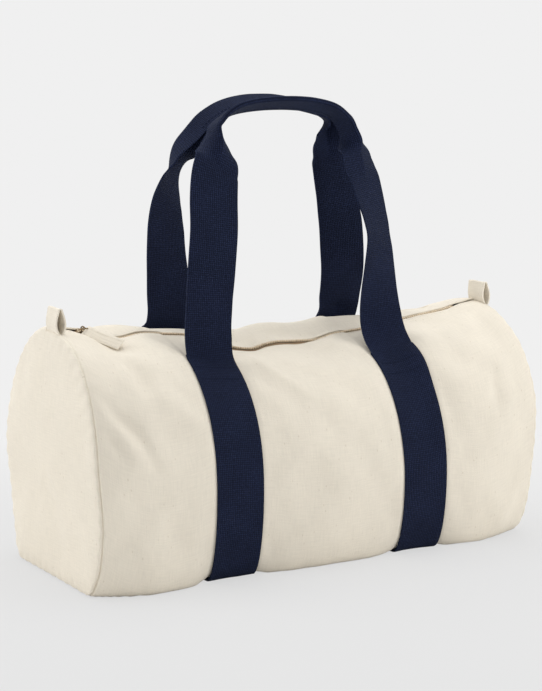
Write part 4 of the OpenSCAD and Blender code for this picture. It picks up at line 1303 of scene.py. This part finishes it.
class BARREL_BAG_OT_slider(bpy.types.Operator):
    """Finishes the zip's slider and its link, and makes the canvas pull"""

    bl_idname = "barrel_bag.slider"
    bl_label = "Slider and pull"

    def execute(self, context):
        body = self.metal("zip_slider", "slider_body", "slider")
        body.data.transform(Matrix.Translation(SLIDER_SHIFT))
        low, high = (np.array(c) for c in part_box("zip_pull_tab"))
        centre = (low + high) / 2 / MM
        knots = centre + np.array([[-12.4, 16.8, 0.9], [-3.4, 3.4, -4.7], [9.6, -16.4, -10.9]])
        far = (0.0, 17.1, 41.6)
        bend = smooth_curve(far, knots)
        turn = smooth_curve(far, [(0.78, 0.32, 0.53), (0.74, 0.28, 0.61), (0.72, 0.26, 0.64)])

        def on_pull(at, b, high_by):
            """A point on the pull, from the distance along it, across it and off its middle."""
            spot = bend(at)
            along = unit(bend(at + 0.2) - spot)
            across = turn(at)
            across = unit(across - (across @ along) * along)
            up = np.cross(along, across)
            return spot + across * b + up * high_by, along, up

        t = np.linspace(0, 1, 26)
        a = np.linspace(-1, 1, 11)
        layers = []
        for level, length in ((0.75, 41.5), (0.0, 40.8), (-0.75, 39.6)):
            s = -1.2 + t * (length + 1.2)
            grid = np.zeros((len(t), len(a), 3))
            for i, at in enumerate(s):
                for j, b in enumerate(a):
                    high_by = level + 0.18 * math.cos(b * 9) - 0.25 * abs(b) ** 6 * np.sign(level)
                    grid[i, j] = on_pull(at, b * PULL_HALF, high_by + 0.15 * math.sin(at / 4))[0]
            layers.append(grid_object("layer", grid, a * PULL_HALF, s[:, None]))
        tab = joined("canvas_pull", layers)
        thicken(tab, PULL_LAYER, 0.0)
        dress(tab, "undyed_canvas")
        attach(tab, "pull")
        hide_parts("zip_pull_tab")
        self.link(knots[0], on_pull(0.0, 0.0, 0.0)[1])
        rows = []
        for b in (-PULL_THREAD_Y, PULL_THREAD_Y):
            for at in np.arange(3, 39, 3.4):
                for face in (-1, 1):
                    spot, along, up = on_pull(at, b, face * 1.25)
                    rows.append((spot, along, up * face))
        thread = pieces_along("pull_stitching", rows, stitch_maker(2.6, 0.6, 0.5))
        dress(thread, "light_sewing_thread")
        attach(thread, "pull")
        return {"FINISHED"}

    @staticmethod
    def link(end, along):
        """The wire link, rolled over with the pull that hangs from it."""
        wire = BARREL_BAG_OT_slider.metal("zip_pull_link", "pull_wire_link", "pull")
        wire.data.transform(Matrix.Translation(SLIDER_SHIFT))
        axis = Vector(along)
        centre = Vector(end) * MM
        for v in wire.data.vertices:
            share = float(smoothstep(-9, 1, (v.co - centre).dot(axis) / MM))
            v.co = centre + Matrix.Rotation(-0.38 * share, 3, axis) @ (v.co - centre)

    @staticmethod
    def metal(node_name, name, body):
        """A copy of one of the frame's metal pieces, as a piece of its own."""
        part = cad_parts[node_name]
        mesh = part.data.copy()
        mesh.transform(part.matrix_world)
        made = linked(name, mesh)
        dress(made, "antique_brass")
        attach(made, body)
        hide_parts(node_name)
        return made


class BARREL_BAG_OT_loops(bpy.types.Operator):
    """Makes the folded canvas loop on each end seam"""

    bl_idname = "barrel_bag.loops"
    bl_label = "End loops"

    def execute(self, context):
        for way, word, y_mid, tip in ((-1, "left", -15.0, 0.0), (1, "right", -6.0, -2.0)):
            base = float(top_z(way * HALF_LENGTH, max(abs(y_mid) - LOOP_HALF, 0.0))) - 5.6
            rise = LOOP_HEIGHT - 2
            side = [(-0.9 - 2.3 * math.sin(math.pi * t ** 0.9) * (1 - 0.35 * t), t * rise)
                    for t in np.linspace(0, 1, 18)]
            crest = [(-math.cos(a), rise + 1.1 * math.sin(a))
                     for a in np.linspace(0, math.pi, 7)[1:-1]]
            profile = np.array(side + crest + [(-x, z) for x, z in side[::-1]])
            width = np.linspace(-LOOP_HALF, LOOP_HALF, 15)
            points = np.zeros((len(profile), len(width), 3))
            for j, w in enumerate(width):
                share = profile[:, 1] / LOOP_HEIGHT
                x = profile[:, 0] * (1 + 0.6 * smoothstep(0, -LOOP_HALF, w))
                x = x + tip * share * (1 + w / LOOP_HALF / 2)
                points[:, j, 0] = way * HALF_LENGTH + 1.4 + x
                points[:, j, 1] = y_mid + w * (1 - 0.05 * share)
                points[:, j, 2] = base + profile[:, 1] + 0.4 * math.sin(w / 5)
            far = lengths_along(profile)[:, None]
            loop = grid_object("canvas_loop_" + word, points, width, far,
                               outside=(way * HALF_LENGTH, y_mid, base + 12))
            thicken(loop, LOOP_THICKNESS, 0.0)
            dress(loop, "undyed_canvas")
            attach(loop, "bag")
            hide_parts("side_loop_" + word)
        return {"FINISHED"}


# ---------------------------------------------------------------- stage


BACKDROP = (0.871, 0.871, 0.871, 1)
CAMERA_AIM, CAMERA_FAR = Vector((-0.0074, 0, 0.206)), 1.6747
CAMERA_TURN, CAMERA_DIP = math.radians(31.0131), math.radians(7.5673)
SENSOR, PIXELS_HIGH, LENS_PIXELS = 36, 691, 1655.4

# Each lamp's name, place and target in metres, size and power
LAMPS = (("window_left", (-2.5, 1.2, 1.5), (0, 0, 0.15), 1.9, 30),
         ("near_right", (0.85, -0.85, 0.55), (0, 0, 0.12), 0.7, 4.3),
         ("soft_top", (0.1, 0.4, 2.6), (0, 0, 0.15), 2.4, 38))


def mixed(tree, share, a, b):
    """A mix of two shader nodes, which the render sees as one."""
    n = node(tree, "MixShader")
    plug(tree, n.inputs[0], share)
    for k, part in ((1, a), (2, b)):
        tree.links.new(part.outputs[0], n.inputs[k])
    return n


class BARREL_BAG_OT_stage(bpy.types.Operator):
    """Makes the pale floor, the soft studio light and the camera"""

    bl_idname = "barrel_bag.stage"
    bl_label = "Stage"

    def execute(self, context):
        scene = context.scene
        bm = bmesh.new()
        bmesh.ops.create_circle(bm, cap_ends=True, segments=96, radius=9)
        floor = linked("studio_floor", mesh_of(bm, "studio_floor"))
        floor.data.materials.append(self.floor_finish())
        for name, place, target, size, power in LAMPS:
            self.light(name, place, target, size, power)
        scene.world = bpy.data.worlds.new("studio_air")
        tree, out = emptied(scene.world, "OutputWorld")
        seen = node(tree, "Background", Color=BACKDROP, Strength=1.0)
        air = node(tree, "Background", Color=(0.98, 0.99, 1.0, 1), Strength=0.6)
        path = node(tree, "LightPath")
        straight, glossy, passing = (
            path.outputs[f"Is {ray} Ray"] for ray in ("Camera", "Glossy", "Transmission"))
        shown = calc(tree, "MAXIMUM", straight, calc(tree, "MAXIMUM", glossy, passing))
        tree.links.new(mixed(tree, shown, air, seen).outputs[0], out)
        camera = linked("camera", bpy.data.cameras.new("camera"))
        level = math.cos(CAMERA_DIP)
        ahead = Vector((math.sin(CAMERA_TURN) * level, math.cos(CAMERA_TURN) * level,
                        -math.sin(CAMERA_DIP)))
        camera.location = CAMERA_AIM - ahead * CAMERA_FAR
        camera.rotation_euler = (math.pi / 2 - CAMERA_DIP, 0, -CAMERA_TURN)
        camera.data.sensor_width = SENSOR
        camera.data.lens = LENS_PIXELS * SENSOR / PIXELS_HIGH
        camera.data.clip_end = 50
        scene.camera = camera
        scene.view_settings.view_transform = "Standard"
        return {"FINISHED"}

    @staticmethod
    def floor_finish():
        """Pale paper floor, which fades into the background away from the bag."""
        material = bpy.data.materials.new("pale_floor")
        tree, out = emptied(material, "OutputMaterial")
        matt = node(tree, "BsdfDiffuse", Color=(0.70, 0.70, 0.70, 1))
        bounce = node(tree, "BsdfDiffuse", Color=(0.88, 0.88, 0.88, 1))
        paper = node(tree, "Emission", Color=(0.775, 0.775, 0.775, 1), Strength=1.0)
        glow = node(tree, "Emission", Color=BACKDROP, Strength=1.0)
        offset = node(tree, "VectorMath", operation="DISTANCE")
        offset.inputs[1].default_value = (-0.103, -0.171, 0)
        tree.links.new(object_place(tree), offset.inputs[0])
        fade = levels(tree, offset.outputs["Value"], 0.32, 0.86)
        seen = mixed(tree, fade, mixed(tree, 0.78, matt, paper), glow)
        to_camera = node(tree, "LightPath").outputs["Is Camera Ray"]
        tree.links.new(mixed(tree, to_camera, bounce, seen).outputs[0], out)
        return material

    @staticmethod
    def light(name, place, target, size, power):
        """A large soft lamp."""
        lamp = linked(name, bpy.data.lights.new(name, "AREA"))
        lamp.data.shape = "DISK"
        lamp.data.size = size
        lamp.data.energy = power
        lamp.location = place
        lamp.rotation_euler = (Vector(target) - Vector(place)).to_track_quat("-Z", "Y").to_euler()


MAKERS = (BARREL_BAG_OT_body_panel, BARREL_BAG_OT_mouth_edges, BARREL_BAG_OT_end_panels,
          BARREL_BAG_OT_bindings, BARREL_BAG_OT_straps, BARREL_BAG_OT_handles, BARREL_BAG_OT_zip,
          BARREL_BAG_OT_slider, BARREL_BAG_OT_loops, BARREL_BAG_OT_stage)


class BARREL_BAG_PT_parts(bpy.types.Panel):
    """Lists the bag's pieces, sizes and colours"""

    bl_label = "Barrel bag"
    bl_idname = "BARREL_BAG_PT_parts"
    bl_space_type = "VIEW_3D"
    bl_region_type = "UI"
    bl_category = "Barrel bag"

    def draw(self, context):
        for maker in MAKERS:
            self.layout.operator(maker.bl_idname)
        for group in (context.scene.barrel_bag_sizes, context.scene.barrel_bag_colours):
            box = self.layout.box()
            for name in group.bl_rna.properties.keys():
                if name not in ("rna_type", "name"):
                    box.prop(group, name)


CLASSES = (BarrelBagColours, BarrelBagSizes, *MAKERS, BARREL_BAG_PT_parts)


def register():
    """Adds the bag's classes and settings."""
    for item in CLASSES:
        bpy.utils.register_class(item)
    bpy.types.Scene.barrel_bag_colours = bpy.props.PointerProperty(type=BarrelBagColours)
    bpy.types.Scene.barrel_bag_sizes = bpy.props.PointerProperty(type=BarrelBagSizes)


def unregister():
    """Takes the bag's classes and settings away."""
    del bpy.types.Scene.barrel_bag_sizes
    del bpy.types.Scene.barrel_bag_colours
    for item in reversed(CLASSES):
        bpy.utils.unregister_class(item)


def main():
    """Makes every piece in order."""
    register()
    for maker in MAKERS:
        getattr(bpy.ops.barrel_bag, maker.bl_idname.split(".")[1])()
    bpy.context.view_layer.update()


if __name__ == "__main__":
    main()
